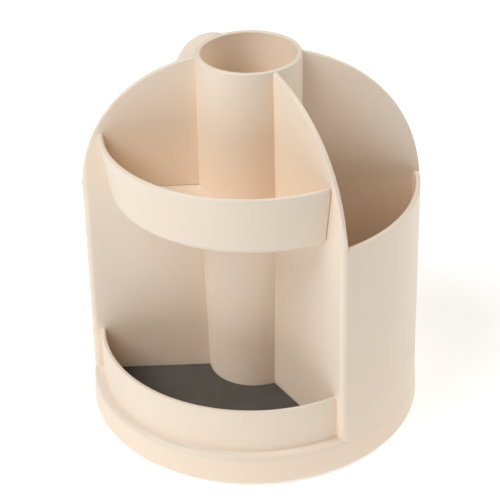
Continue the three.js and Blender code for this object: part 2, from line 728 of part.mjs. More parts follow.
place("turntable_plate", toGeometry(turntablePlate()), bearingPlastic, turningOrganizer);
const plateScrewGeometry = toGeometry(
  screw(SCREW_RADIUS, SCREW_TOP, SCREW_HEAD_RADIUS, PLATE_UNDERSIDE - CLEARANCE, SCREW_HEAD_THICKNESS),
);
around(BOSS_COUNT, Math.PI / BOSS_COUNT).forEach((angle, i) => {
  const at = polar(BOSS_CIRCLE, angle);
  place(`plate_screw_${i + 1}`, plateScrewGeometry, steel, turningOrganizer, 0, at);
});
const washerUnderside = COUNTERBORE_SEAT - WASHER_THICKNESS;
const pivotScrewGeometry = toGeometry(
  screw(PIVOT_RADIUS, PIVOT_TOP, PIVOT_HEAD_RADIUS, washerUnderside - CLEARANCE, PIVOT_HEAD_THICKNESS),
);
place("pivot_screw", pivotScrewGeometry, steel, turningOrganizer);
place("pivot_washer", toGeometry(pivotWasher()), steel, turningOrganizer);

place("ball_cage", toGeometry(ballCage()), cagePlastic, bearing);
const ballGeometry = toGeometry(ball());
around(BALL_COUNT).forEach((angle, i) => {
  const at = polar(RACE_RADIUS, angle, BALL_CENTRE);
  place(`bearing_ball_${i + 1}`, ballGeometry, steel, bearing, 0, at);
});

place("base_disc", toGeometry(baseDisc()), bearingPlastic, standingBase);
place("pivot_bush", toGeometry(pivotBush()), cagePlastic, standingBase);
const footGeometry = toGeometry(foot());
around(FOOT_COUNT).forEach((angle, i) => {
  const at = polar(FOOT_CIRCLE, angle);
  place(`anti_slip_foot_${i + 1}`, footGeometry, footRubber, standingBase, 0, at);
});

export default penHolder;
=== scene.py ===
# %% [markdown]
# # A rotating pen holder
# The real object is a cream plastic moulding that turns on a hidden ball race. This lesson dresses
# its mechanical model for a photograph: smooth rims, softened edges, plastic that shows a fine
# moulded grain, and thin foam mats. Lengths are written in millimetres, as on a maker's drawing,
# and become Blender's metres where a mesh is made.

# %% Load the mechanical model
import math

import bmesh
import bpy
from mathutils import Matrix, Vector


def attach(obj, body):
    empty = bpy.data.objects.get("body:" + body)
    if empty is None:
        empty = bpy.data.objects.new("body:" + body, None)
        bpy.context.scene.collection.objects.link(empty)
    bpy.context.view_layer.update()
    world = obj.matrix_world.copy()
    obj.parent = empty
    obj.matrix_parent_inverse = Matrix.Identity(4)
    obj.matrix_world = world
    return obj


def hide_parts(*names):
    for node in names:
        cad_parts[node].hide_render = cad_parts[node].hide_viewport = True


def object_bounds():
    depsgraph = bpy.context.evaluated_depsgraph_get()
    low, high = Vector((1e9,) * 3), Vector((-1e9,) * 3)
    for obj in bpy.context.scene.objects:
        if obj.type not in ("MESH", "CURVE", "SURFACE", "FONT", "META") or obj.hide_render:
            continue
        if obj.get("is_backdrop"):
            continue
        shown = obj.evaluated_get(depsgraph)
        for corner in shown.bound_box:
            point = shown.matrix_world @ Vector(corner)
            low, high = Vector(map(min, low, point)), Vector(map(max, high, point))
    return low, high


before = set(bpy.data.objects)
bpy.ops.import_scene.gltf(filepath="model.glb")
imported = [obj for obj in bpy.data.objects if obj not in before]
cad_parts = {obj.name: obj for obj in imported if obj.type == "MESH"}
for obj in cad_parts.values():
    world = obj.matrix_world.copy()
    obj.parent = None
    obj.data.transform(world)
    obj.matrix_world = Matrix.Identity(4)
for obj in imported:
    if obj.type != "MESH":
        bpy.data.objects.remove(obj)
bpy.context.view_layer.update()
MM = 0.001

# %% [markdown]
# ## The camera
# A product photographer stands back with a long lens, so that round forms aren't stretched. The
# camera could be placed by eye, but a small error of angle shows at once in the ellipses of the
# rims. So its place, its lens and its slight roll were worked out from those ellipses and from the
# upright edges. It looks down by 31.6 degrees from the front right.

# %% Camera
AZIMUTH = math.radians(28.35)
ELEVATION = math.radians(31.62)
ROLL = math.radians(-1.174)
DISTANCE = 722.7 * MM
LOOK_SIDE = -1.137 * MM
LOOK_HEIGHT = 73.86 * MM
FRAME_PIXELS, FOCAL_PIXELS = 500, 1614.35
SENSOR = 36.0  # mm, Blender's usual
NEAREST = 10 * MM


def aim_camera():
    back = Vector((
        math.sin(AZIMUTH) * math.cos(ELEVATION),
        -math.cos(AZIMUTH) * math.cos(ELEVATION),
        math.sin(ELEVATION),
    ))
    target = Vector((LOOK_SIDE * math.cos(AZIMUTH), LOOK_SIDE * math.sin(AZIMUTH), LOOK_HEIGHT))
    right = Vector((0, 0, 1)).cross(back).normalized()
    up = back.cross(right)
    turn = Matrix.Rotation(ROLL, 3, back)
    right, up = turn @ right, turn @ up
    data = bpy.data.cameras.new("camera")
    data.sensor_width = SENSOR
    data.lens = FOCAL_PIXELS * SENSOR / FRAME_PIXELS
    data.clip_start = NEAREST
    camera = bpy.data.objects.new("camera", data)
    bpy.context.collection.objects.link(camera)
    rows = Matrix((right, up, back)).transposed().to_4x4()
    camera.matrix_world = Matrix.Translation(target + back * DISTANCE) @ rows
    bpy.context.scene.camera = camera
    print("camera lens in mm", round(data.lens, 1))


aim_camera()

# %% [markdown]
# ## Sizes shared by the pieces
# The real pieces fit because they were drawn on the same sizes. These could be measured on the
# mechanical model's meshes, but written values are easier to follow and to change. They are that
# model's own, so every piece sits exactly where it says.

# %% Sizes
SKIRT_RADIUS, SKIRT_LOW, SKIRT_ROUND = 75.0, 1.5, 0.6
RING_RADIUS, RING_TOP, RING_ROUND = 74.5, 15.2, 2.8
WALL, CLEARANCE = 2.2, 0.3
BIN_FACE, SECTOR_FACE = 0.2, 2.3  # a divider's two faces, from the plane through the axis
FLOOR_LOW, FLOOR_TOP, MAT_LOW, MAT_TOP = 9.6, 11.9, 12.2, 14.5
LOW_WALL_RADIUS, LOW_WALL_TOP, LOW_WALL_LEAN, LOW_WALL = 70.2, 36.1, 0.3, 1.9
BIN_TOP, BIN_DRAFT, BIN_REVEAL = 111.4, 0.8, 0.2
BIN_CORNER, BIN_INNER_CORNER = 3.0, 0.8
ARCH_REACH, ARCH_SPRING, ARCH_DROP, ARCH_EXPONENT = 73.6, 103.5, 0.9, 2.2
TUBE_TOP, TUBE_FLOOR = 171.0, 50.0
TUBE_TOP_RADIUS, TUBE_WAIST_RADIUS, TUBE_FOOT_RADIUS = 22.4, 22.8, 20.7
TRAY_LOW, TRAY_FLOOR, TRAY_TOP = 108.0, 1.8, 136.4
TRAY_TOP_RADIUS, TRAY_FOOT_RADIUS, TRAY_WALL, TRAY_ROUND = 64.8, 60.8, 2.0, 5.0
BIN_HALF = math.radians(30)
SECTOR_HALF = math.radians(60)
FRONT, REAR, RIGHT, LEFT = math.radians(-90), math.radians(90), 0.0, math.radians(180)
print("holder", 2 * SKIRT_RADIUS, "mm wide and", TUBE_TOP, "mm high")


# %% Tube, arch and bin
def tube_radius(z):
    """The pen tube's outer radius: two straight tapers that meet at the trays."""
    if z > TRAY_LOW:
        share = (z - TRAY_LOW) / (TUBE_TOP - TRAY_LOW)
        return TUBE_WAIST_RADIUS + (TUBE_TOP_RADIUS - TUBE_WAIST_RADIUS) * share
    share = (z - FLOOR_LOW) / (TRAY_LOW - FLOOR_LOW)
    return TUBE_FOOT_RADIUS + (TUBE_WAIST_RADIUS - TUBE_FOOT_RADIUS) * share


ARCH_TOP = TUBE_TOP - ARCH_DROP
TUBE_SHARE = tube_radius(ARCH_TOP) / ARCH_REACH
ARCH_RISE = (ARCH_TOP - ARCH_SPRING) / (1 - TUBE_SHARE ** ARCH_EXPONENT) ** (1 / ARCH_EXPONENT)


def arch_point(angle):
    """A point of the arch as (distance from the axis, height), from its foot at angle 0 to its top."""
    across = math.cos(angle) ** (2 / ARCH_EXPONENT)
    return ARCH_REACH * across, ARCH_SPRING + ARCH_RISE * math.sin(angle) ** (2 / ARCH_EXPONENT)


def bin_radius(z):
    """A bin wall's outer radius, which leans in from where the ring's rounding starts."""
    straight = RING_TOP - RING_ROUND
    lean = BIN_DRAFT * max(0.0, z - straight) / (BIN_TOP - straight)
    return RING_RADIUS - BIN_REVEAL - lean


print("arch rises", round(ARCH_RISE, 2), "mm above its spring line")

# %% [markdown]
# ## Helpers that make meshes
# A moulded shell is easiest to read as a few sweeps: a profile turned about the axis, a profile
# turned through one sector only, and a wall that follows a path. Blender's modifiers could do some
# of this, but short functions show every point. Each gives rings of points, and one more helper
# joins rings of the same length into faces.

# %% Arcs and skins
def arc(cx, cy, radius, start, end, steps):
    angles = [start + (end - start) * i / steps for i in range(steps + 1)]
    return [(cx + radius * math.cos(a), cy + radius * math.sin(a)) for a in angles]


def skin(mesh, rings, around=False, along=False, caps=False):
    """Joins rings of points, in millimetres, into faces. A ring may close on itself (around)."""
    made = [[mesh.verts.new(Vector(p) * MM) for p in ring] for ring in rings]
    pairs = list(zip(made, made[1:] + made[:1])) if along else list(zip(made, made[1:]))
    count = len(made[0])
    steps = range(count) if around else range(count - 1)
    for near, far in pairs:
        for i in steps:
            j = (i + 1) % count
            mesh.faces.new((near[i], near[j], far[j], far[i]))
    if caps:
        mesh.faces.new(list(reversed(made[0])))
        mesh.faces.new(made[-1])


print("a quarter turn in 8 steps has", len(arc(0, 0, 1, 0, math.pi / 2, 8)), "points")


# %% Turned forms and posts
SPIN_STEPS = 180


def spin(mesh, profile, steps=SPIN_STEPS):
    """Turns a closed profile of (radius, height) about the axis."""
    rings = []
    for i in range(steps):
        a = math.tau * i / steps
        rings.append([(r * math.cos(a), r * math.sin(a), z) for r, z in profile])
    skin(mesh, rings, around=True, along=True)


def post(mesh, x, y, levels, steps=24):
    """An upright round post through (radius, height) levels, from the lowest up."""
    rings = [[(*p, z) for p in arc(x, y, r, 0, math.tau, steps)[:-1]] for r, z in levels]
    skin(mesh, rings, around=True, caps=True)


print("a turned form has a station every", 360 / SPIN_STEPS, "degrees")


# %% A finished mesh object
SMOOTH_ANGLE = math.radians(40)  # steeper edges than this stay sharp
WELD = 1e-7  # metres


def piece(name, build, turn=0.0, at=(0, 0, 0)):
    """Makes an object from a mesh-building function, welds it, and smooths all but sharp edges."""
    mesh = bmesh.new()
    build(mesh)
    bmesh.ops.remove_doubles(mesh, verts=mesh.verts, dist=WELD)
    bmesh.ops.recalc_face_normals(mesh, faces=mesh.faces)
    if turn:
        spun = Matrix.Rotation(turn, 3, "Z")
        bmesh.ops.rotate(mesh, verts=mesh.verts, cent=(0, 0, 0), matrix=spun)
    bmesh.ops.translate(mesh, verts=mesh.verts, vec=Vector(at) * MM)
    data = bpy.data.meshes.new(name)
    mesh.to_mesh(data)
    mesh.free()
    data.shade_smooth()
    data.set_sharp_from_angle(angle=SMOOTH_ANGLE)
    obj = bpy.data.objects.new(name, data)
    bpy.context.collection.objects.link(obj)
    return obj


print("helpers ready")

# %% [markdown]
# ## The turned base of the organizer
# The skirt, the soft-edged ring and the two low walls are all round about the axis. They could be
# three turned rings, but their joins would show as seams, so one profile is swept round. Where a
# bin stands on the ring there's no low wall, so at those angles the end of the profile folds away
# inside the bin's wall. Two extra stations, inside the thickness of each divider, keep the fold
# where it can't be seen.

# %% Rounded rim
RIM_ROUND = 0.9  # height of the rounding on a rim
RIM_FULLNESS = 2.6  # 2 would be a plain half ellipse


def rim_share(steps=8):
    """A rounded rim as (share across, share up), from one face of a wall to the other."""
    points = []
    for i in range(steps + 1):
        a = math.pi - math.pi * i / steps
        across = math.copysign(abs(math.cos(a)) ** (2 / RIM_FULLNESS), math.cos(a))
        points.append(((across + 1) / 2, abs(math.sin(a)) ** (2 / RIM_FULLNESS)))
    return points


print("a rim is rounded in", len(rim_share()), "points")


# %% Base profile
KNEE_RADIUS = SKIRT_RADIUS - WALL  # where the skirt's profile hands over to the low wall's
KNEE_ANGLE = math.acos((KNEE_RADIUS - RING_RADIUS + RING_ROUND) / RING_ROUND)
RING_EDGE = (RING_RADIUS - RING_ROUND, RING_TOP - RING_ROUND)
FOOT_FILLET = 0.8
PROFILE_END = 0.4  # the last point lies this far up inside the floor


def skirt_points():
    foot = arc(SKIRT_RADIUS - SKIRT_ROUND, SKIRT_LOW + SKIRT_ROUND, SKIRT_ROUND, -math.pi / 2, 0, 4)
    edge = arc(*RING_EDGE, RING_ROUND, 0, KNEE_ANGLE, 8)
    return [(KNEE_RADIUS, FLOOR_LOW), (KNEE_RADIUS, SKIRT_LOW), *foot, *edge]


def low_wall_points():
    edge = arc(*RING_EDGE, RING_ROUND, KNEE_ANGLE, math.pi / 2, 4)[1:]
    fillet = arc(LOW_WALL_RADIUS + FOOT_FILLET, RING_TOP + FOOT_FILLET, FOOT_FILLET,
                 -math.pi / 2, -math.pi, 5)
    outer, inner = LOW_WALL_RADIUS - LOW_WALL_LEAN, LOW_WALL_RADIUS - LOW_WALL
    rim = [(outer - LOW_WALL * x, LOW_WALL_TOP - RIM_ROUND + RIM_ROUND * z) for x, z in rim_share(10)]
    return [*edge, *fillet, *rim, (inner, FLOOR_TOP), (inner, FLOOR_LOW + PROFILE_END)]


print("low wall profile has", len(low_wall_points()), "points")


# %% Base sweep
FULL_DEGREES, FOLDED_DEGREES = 1.2, 0.7  # past a divider's plane, into the wide sector
HIDDEN_LEDGE = 72.3  # the ledge runs in as far as this under a bin's wall
FOLD_DROP, FOLD_STEP = 0.6, 0.02  # folded points hang below the ledge, each a little lower
FLOOR_LAP = 0.2  # the floor runs this far into the skirt


def folded_points(low):
    """The low wall's profile where a bin stands: the ledge stays and the rest is tucked under it."""
    folded = []
    for i, (r, z) in enumerate(low):
        on_ledge = z < RING_TOP + 1e-6 and r > LOW_WALL_RADIUS + 1
        tucked = (HIDDEN_LEDGE, RING_TOP - FOLD_DROP - FOLD_STEP * i)
        folded.append((max(r, HIDDEN_LEDGE), z) if on_ledge else tucked)
    return folded


def ring_of_base(mesh):
    skirt, low = skirt_points(), low_wall_points()
    folded = folded_points(low)
    angles = set(range(0, 360, 2))
    for shift in (FULL_DEGREES, FOLDED_DEGREES):  # the dividers stand at 30, 150, 210 and 330
        angles |= {30 + shift, 150 - shift, 210 + shift, 330 - shift}
    rings = []
    for degree in sorted(angles):
        in_tier = abs(degree % 180 - 90) <= 60.01 - FULL_DEGREES  # a hair over 60, for rounding
        a = math.radians(degree)
        profile = skirt + (low if in_tier else folded)
        rings.append([(r * math.cos(a), r * math.sin(a), z) for r, z in profile])
    skin(mesh, rings, around=True, along=True)


def floor_ring(mesh):
    start, reach = TUBE_FOOT_RADIUS - WALL / 2, KNEE_RADIUS + FLOOR_LAP
    spin(mesh, [(start, FLOOR_LOW), (reach, FLOOR_LOW), (reach, FLOOR_TOP), (start, FLOOR_TOP)])


print("low wall folds away within", round(FULL_DEGREES - FOLDED_DEGREES, 2), "degrees")

# %% [markdown]
# ## The pen tube
# The moulded tube is widest at the trays and narrows a little to its foot and its rim. Its raised
# floor makes pens stand proud. It could be a cylinder that is hollowed and bevelled afterwards,
# but one turned profile holds the tapers, the rounded rim, the bore and its fillet all at once.

# %% Pen tube profile
BORE_FILLET, TUBE_FLOOR_THICKNESS = 1.5, 2.3
WAIST_STATIONS = (-12, -4, 4, 12)  # about the trays' underside, so that the waist is soft


def pen_tube(mesh):
    top_out, top_in = tube_radius(TUBE_TOP), tube_radius(TUBE_TOP) - WALL
    rim = [(top_out - WALL * x, TUBE_TOP - RIM_ROUND + RIM_ROUND * z) for x, z in rim_share(12)]
    bore = tube_radius(TUBE_FLOOR) - WALL
    corner = arc(bore - BORE_FILLET, TUBE_FLOOR + BORE_FILLET, BORE_FILLET, 0, -math.pi / 2, 4)
    under = TUBE_FLOOR - TUBE_FLOOR_THICKNESS
    waist = [(tube_radius(TRAY_LOW + d), TRAY_LOW + d) for d in WAIST_STATIONS]
    profile = [(TUBE_FOOT_RADIUS, FLOOR_LOW), *waist, *rim, *corner, (0, TUBE_FLOOR), (0, under)]
    profile += [(tube_radius(under) - WALL, under), (TUBE_FOOT_RADIUS - WALL, FLOOR_LOW)]
    spin(mesh, profile, steps=160)
    print("tube rim", round(top_out, 2), "mm outside,", round(top_in, 2), "mm inside")


print("tube floor", TUBE_FLOOR - FLOOR_TOP, "mm above the organizer's floor")

# %% [markdown]
# ## The arched dividers
# A divider is a flat plate with an arched, rounded edge, and two of them cross at the tube. It
# could be cut from a block and bevelled, but a bevel breaks up where the arch falls steeply. So a
# station is placed at each of many points of the arch, with its rim rounded square to the curve.
# At the bin's corner the plate's outer face bends away, so the plate runs out in a tip.

# %% Divider outline
EDGE_ROUND, EDGE_SWELL = 0.85, 0.25
PLATE_START, PLATE_FOOT_START = 21.3, 19.8  # inside the tube's wall, at the top and at the foot
PLATE_INSET = 0.3  # the plate's full height ends this far before its corner


def corner_centre(radius, face, corner):
    """Where a bin corner's rounding is centred, as (along the divider's plane, off it)."""
    side = face - corner
    return math.sqrt((radius - corner) ** 2 - side ** 2), side


def face_offset(along, radius):
    """Distance of the plate's outer face from the plane through the axis."""
    centre, side = corner_centre(radius, SECTOR_FACE, BIN_CORNER)
    if along <= centre:
        return SECTOR_FACE
    return max(BIN_FACE, side + math.sqrt(max(0.0, BIN_CORNER ** 2 - (along - centre) ** 2)))


PLATE_END, PLATE_FOOT_END = (corner_centre(bin_radius(z), SECTOR_FACE, BIN_CORNER)[0] - PLATE_INSET
                             for z in (BIN_TOP, FLOOR_LOW))
print("plates reach", round(PLATE_END, 2), "mm from the axis at full height")


# %% Divider stations
PLATE_STEPS, TIP_STEPS = 72, 16
TIP_ANGLE = math.asin(((BIN_TOP - EDGE_ROUND - ARCH_SPRING) / ARCH_RISE) ** (ARCH_EXPONENT / 2))
SEAT_LAP, SUNK = 0.1, 0.03  # how far hidden ends run down into the bin's rim, and in from its face


def arch_normal(r, z):
    across = (r / ARCH_REACH) ** (ARCH_EXPONENT - 1) / ARCH_REACH
    up = ((z - ARCH_SPRING) / ARCH_RISE) ** (ARCH_EXPONENT - 1) / ARCH_RISE
    return Vector((across, up)).normalized()


def plate_station(angle, short):
    """One section of a divider, as (along, off, height). A short one only stands on the bin's rim."""
    r, z = arch_point(angle)
    normal = arch_normal(r, z)
    rim = []
    for across, up in rim_share():
        edge = Vector((r, z)) + normal * (EDGE_SWELL - EDGE_ROUND * (1 - up))
        outer = face_offset(edge.x, bin_radius(BIN_TOP))
        off = outer + (BIN_FACE - outer) * across
        rim.append((math.sqrt(edge.x ** 2 - off ** 2), off, edge.y))
    seat = BIN_TOP - EDGE_ROUND + SEAT_LAP
    off = face_offset(r, bin_radius(BIN_TOP))
    if short:
        low = seat - SEAT_LAP
        return [(r, off - SUNK, low), (r, off, seat), *rim, (r, BIN_FACE, low)]
    share = (r - PLATE_START) / (PLATE_END - PLATE_START)
    foot = PLATE_FOOT_START + (PLATE_FOOT_END - PLATE_FOOT_START) * share
    return [(foot, SECTOR_FACE, FLOOR_LOW), (r, SECTOR_FACE, seat), *rim, (foot, BIN_FACE, FLOOR_LOW)]


def plate_angles():
    """Stations from the tube to the tip. One is used twice, where the plate's foot ends."""
    top = math.acos((PLATE_START / ARCH_REACH) ** (ARCH_EXPONENT / 2))
    turn = math.acos((PLATE_END / ARCH_REACH) ** (ARCH_EXPONENT / 2))
    long = [top + (turn - top) * i / PLATE_STEPS for i in range(PLATE_STEPS + 1)]
    short = [turn + (TIP_ANGLE - turn) * i / TIP_STEPS for i in range(TIP_STEPS + 1)]
    return [(a, False) for a in long] + [(a, True) for a in short]


print("divider plate has", len(plate_angles()), "stations")


# %% Divider sweep
def divider(mesh, turn, mirror):
    """A divider's half, from the tube outwards, on one side of the bin that a turn points to."""
    spun = Matrix.Rotation(turn, 3, "Z")
    lean = Matrix.Rotation(BIN_HALF, 3, "Z")
    rings = []
    for angle, short in plate_angles():
        ring = []
        for along, off, z in plate_station(angle, short):
            p = lean @ Vector((along, off, z))
            ring.append(spun @ Vector((p.x, -p.y if mirror else p.y, z)))
        rings.append(ring)
    skin(mesh, rings, around=True, caps=True)


print("dividers stand", round(math.degrees(2 * BIN_HALF)), "degrees apart beside a bin")

# %% [markdown]
# ## The bin walls
# Each bin's outer wall starts inside one divider, turns a soft corner, follows the ring, turns again
# and ends inside the other divider. It could be an extruded plan, but the real wall leans in a
# little, so its section changes on the way up. It's a sweep along its own plan, with one rounded,
# level rim.

# %% Bin wall plan
CORNER_STEPS, BIN_STEPS = 14, 28
WALL_START, WALL_NEXT = 1.1, 0.1  # the wall's first two stations, before its corner


def plan_curve(radius, face, corner, sunk):
    """Half of a bin wall's plan, from inside the divider to its middle, for a bin that opens to +X."""
    along = Vector((math.cos(BIN_HALF), math.sin(BIN_HALF)))
    out = Vector((-math.sin(BIN_HALF), math.cos(BIN_HALF)))
    reach, side = corner_centre(radius, face, corner)
    centre = along * reach + out * side
    swing = math.atan2(centre.y, centre.x)
    starts = ((WALL_START, sunk), (WALL_NEXT, sunk / 3))
    points = [along * (reach - back) + out * (face + off) for back, off in starts]
    turn = arc(centre.x, centre.y, corner, BIN_HALF + math.pi / 2, swing, CORNER_STEPS)
    wall = arc(0, 0, radius, swing, 0, BIN_STEPS)[1:]
    return points + [Vector(p) for p in turn + wall]


print("half a bin wall has", 2 + CORNER_STEPS + 1 + BIN_STEPS, "stations")


# %% Bin wall sections
def wall_section(index, mirror):
    """The wall's section at one station, from its foot outside over the rim to its foot inside."""
    def place(z, inner):
        if inner:
            p = plan_curve(bin_radius(z) - WALL, BIN_FACE, BIN_INNER_CORNER, SUNK)[index]
        else:
            p = plan_curve(bin_radius(z), SECTOR_FACE, BIN_CORNER, -SUNK)[index]
        return Vector((p.x, -p.y if mirror else p.y, z))
    knee = RING_TOP - RING_ROUND
    outer_top, inner_top = place(BIN_TOP, False), place(BIN_TOP, True)
    rim = [tuple(outer_top.lerp(inner_top, across) + Vector((0, 0, EDGE_ROUND * (up - 1))))
           for across, up in rim_share()]
    low = [tuple(place(z, False)) for z in (FLOOR_LOW, knee)]
    return low + rim + [tuple(place(z, True)) for z in (knee, FLOOR_LOW)]


def bin_wall(mesh, turn):
    half = [wall_section(i, False) for i in range(2 + CORNER_STEPS + 1 + BIN_STEPS)]
    other = [wall_section(i, True) for i in range(len(half) - 1)]
    rings = half + list(reversed(other))
    spun = Matrix.Rotation(turn, 3, "Z")
    skin(mesh, [[spun @ Vector(p) for p in ring] for ring in rings], around=True, caps=True)


print("a wall section has", len(wall_section(0, False)), "points")

# %% [markdown]
# ## Hidden features of the moulding
# Under the trays the dividers carry small brackets, and under the floor there are stiffening ribs
# and the bosses that take the turntable's screws. They're plain moulded blocks with a little draft.
# A finer form would never be seen, so each is a closed block or post that starts inside its wall.

# %% Brackets
BRACKET_TOP, BRACKET_START, BRACKET_LENGTH, BRACKET_DEPTH = TRAY_LOW - CLEARANCE, 31.0, 14.0, 6.0
BRACKET_THICKNESS, GUSSET, GUSSET_LAP, FACE_LAP = 2.0, 5.0, 0.5, 0.6


def at_divider(p, turn, flip):
    """A point beside a divider: x along it, y off it into the sector, for a sector about an angle."""
    x, y, z = p
    placed = Matrix.Rotation(SECTOR_HALF, 3, "Z") @ Vector((x, -y, z))
    if flip:
        placed.y = -placed.y
    return Matrix.Rotation(turn, 3, "Z") @ placed


def bracket(mesh, turn, flip):
    """A shelf on a divider's face, with a triangular gusset under each end."""
    low, far = BRACKET_TOP - BRACKET_THICKNESS, BRACKET_START + BRACKET_LENGTH
    face, lip = SECTOR_FACE - FACE_LAP, SECTOR_FACE + BRACKET_DEPTH
    tip, inside = SECTOR_FACE + GUSSET, low + GUSSET_LAP
    forms = [[[(BRACKET_START, face, z), (far, face, z), (far, lip, z), (BRACKET_START, lip, z)]
              for z in (low, BRACKET_TOP)]]
    for start in (BRACKET_START, far - BRACKET_THICKNESS):
        forms.append([[(x, face, low - GUSSET), (x, face, inside), (x, tip, inside), (x, tip, low)]
                      for x in (start, start + BRACKET_THICKNESS)])
    for form in forms:
        rings = [[at_divider(p, turn, flip) for p in ring] for ring in form]
        skin(mesh, rings, around=True, caps=True)


print("brackets end", BRACKET_START + BRACKET_LENGTH, "mm from the axis")


# %% Ribs and bosses
RIB_COUNT, RIB_HALF, RIB_START, RIB_END, RIB_DEPTH = 12, 0.8, 55.0, 73.4, 4.0
RIB_LAP, RIB_TAPER = 1.0, 0.12
SCREW_COUNT, SCREW_CIRCLE, BOSS_RADIUS, BOSS_HEIGHT = 4, 15.0, 4.2, 15


def rib(mesh, turn):
    """A thin block from low and narrow to high and wide, turned about the axis."""
    rings = []
    for z, t in ((FLOOR_LOW - RIB_DEPTH, RIB_TAPER), (FLOOR_LOW + RIB_LAP, 0.0)):
        x0, x1, y = RIB_START + t, RIB_END - t, RIB_HALF - t
        rings.append([(x0, -y, z), (x1, -y, z), (x1, y, z), (x0, y, z)])
    spun = Matrix.Rotation(turn, 3, "Z")
    skin(mesh, [[spun @ Vector(p) for p in ring] for ring in rings], around=True, caps=True)


def underside(mesh):
    for i in range(RIB_COUNT):
        rib(mesh, math.radians(360 / RIB_COUNT * (i + 0.5)))
    for i in range(SCREW_COUNT):
        a = math.radians(360 / SCREW_COUNT * (i + 0.5))
        post(mesh, SCREW_CIRCLE * math.cos(a), SCREW_CIRCLE * math.sin(a),
             [(BOSS_RADIUS, FLOOR_LOW), (BOSS_RADIUS, FLOOR_LOW + BOSS_HEIGHT)])


print(RIB_COUNT, "ribs and", SCREW_COUNT, "bosses")

# %% [markdown]
# ## The organizer body
# All the forms so far come out of one mould as a single piece. They could be fused with Boolean
# modifiers, but those leave thin stray faces along soft curves. Here the sweeps run into each other
# behind their visible faces, so one mesh holds them all and every rim keeps its clean rounding.

# %% Organizer body
def organizer(mesh):
    ring_of_base(mesh)
    floor_ring(mesh)
    pen_tube(mesh)
    for turn in (RIGHT, LEFT):
        bin_wall(mesh, turn)
        divider(mesh, turn, False)
        divider(mesh, turn, True)
    for turn in (FRONT, REAR):
        for flip in (False, True):
            bracket(mesh, turn, flip)
    underside(mesh)


body = piece("organizer_moulding", organizer)
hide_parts("organizer_body")
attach(body, "organizer")
print("organizer moulding", len(body.data.polygons), "faces")

# %% [markdown]
# ## The upper trays
# Each tray is a separate moulding that rests on brackets: a floor shaped like a slice of a ring,
# and a front wall that leans out. It could be a turned ring cut in pieces, but its two ends lie
# parallel to the dividers, not along the radius. So each point of the profile is swept through its
# own angle, and the last stations draw in a little to round the ends.

# %% Sector sweep
TINY = 1e-9
END_ROUND = 0.4  # rounding at a tray's two ends
END_DEGREES = (90, 60, 30, 0)


def inset(profile, amount):
    """The same closed profile, each point moved inwards by an amount."""
    moved = []
    for i, (x, y) in enumerate(profile):
        px, py = profile[i - 1]
        nx, ny = profile[(i + 1) % len(profile)]
        a, b = Vector((x - px, y - py)), Vector((nx - x, ny - y))
        a = a.normalized() if a.length > TINY else b.normalized()
        b = b.normalized() if b.length > TINY else a
        normal = Vector((-(a.y + b.y), a.x + b.x))
        normal = normal.normalized() if normal.length > TINY else Vector((0, 0))
        moved.append((x + normal.x * amount, y + normal.y * amount))
    return moved


def sector_sweep(mesh, profile, gap, turn, steps=64):
    """Sweeps an anticlockwise profile of (radius, height) between two planes beside the dividers."""
    ends = [(END_ROUND * (1 - math.cos(a)), END_ROUND * (1 - math.sin(a)))
            for a in (math.radians(d) for d in END_DEGREES)]
    stations = [(-1, e, d) for e, d in ends] + [(-1 + 2 * i / steps, 0, 0) for i in range(1, steps)]
    stations += [(1, e, d) for e, d in reversed(ends)]
    rings = []
    for share, amount, short in stations:
        ring = []
        for r, z in inset(profile, amount) if amount else profile:
            limit = SECTOR_HALF - math.asin((gap + short) / r)
            a = share * limit + turn
            ring.append((r * math.cos(a), r * math.sin(a), z))
        rings.append(ring)
    skin(mesh, rings, around=True, caps=True)


print("a tray's end is rounded by", END_ROUND, "mm in", len(END_DEGREES), "stations")


# %% Tray profile
TRAY_LEAN = math.atan2(TRAY_TOP_RADIUS - TRAY_FOOT_RADIUS, TRAY_TOP - TRAY_LOW)
TRAY_RIM = 1.0  # half the wall, so the rim is a half circle
TRAY_TOUCH = 0.05  # the floor touches the tube, so that no dark gap shows


def tray_profile():
    inner = tube_radius(TRAY_LOW) - TRAY_TOUCH
    floor_top = TRAY_LOW + TRAY_FLOOR
    small = TRAY_ROUND - TRAY_WALL
    lift = 1 - math.sin(TRAY_LEAN)
    outer = arc(TRAY_FOOT_RADIUS - TRAY_ROUND * lift, TRAY_LOW + TRAY_ROUND, TRAY_ROUND,
                -math.pi / 2, -TRAY_LEAN, 10)
    hollow = arc(TRAY_FOOT_RADIUS - TRAY_WALL - small * lift, floor_top + small, small,
                 -TRAY_LEAN, -math.pi / 2, 8)
    rim = arc(TRAY_TOP_RADIUS - TRAY_RIM, TRAY_TOP - TRAY_RIM, TRAY_RIM,
              -TRAY_LEAN, math.pi - TRAY_LEAN, 12)
    return [(inner, TRAY_LOW), *outer, *rim, *hollow, (inner, floor_top)]


print("tray leans out by", round(math.degrees(TRAY_LEAN), 1), "degrees")


# %% Upper trays
PEG_ALONG, PEG_OFF = 38.0, 3.0  # where a peg stands in its bracket, along the divider and off it
PEG_RADIUS, PEG_TIP_RADIUS = 1.2, 0.8
PEG_LENGTH, PEG_STRAIGHT, PEG_LAP = 3.6, 3.2, 0.5


def tray(mesh, turn):
    sector_sweep(mesh, tray_profile(), SECTOR_FACE + CLEARANCE, turn)
    for flip in (False, True):
        spot = at_divider((PEG_ALONG, SECTOR_FACE + PEG_OFF, 0), turn, flip)
        post(mesh, spot.x, spot.y, [
            (PEG_TIP_RADIUS, TRAY_LOW - PEG_LENGTH), (PEG_RADIUS, TRAY_LOW - PEG_STRAIGHT),
            (PEG_RADIUS, TRAY_LOW + PEG_LAP)])


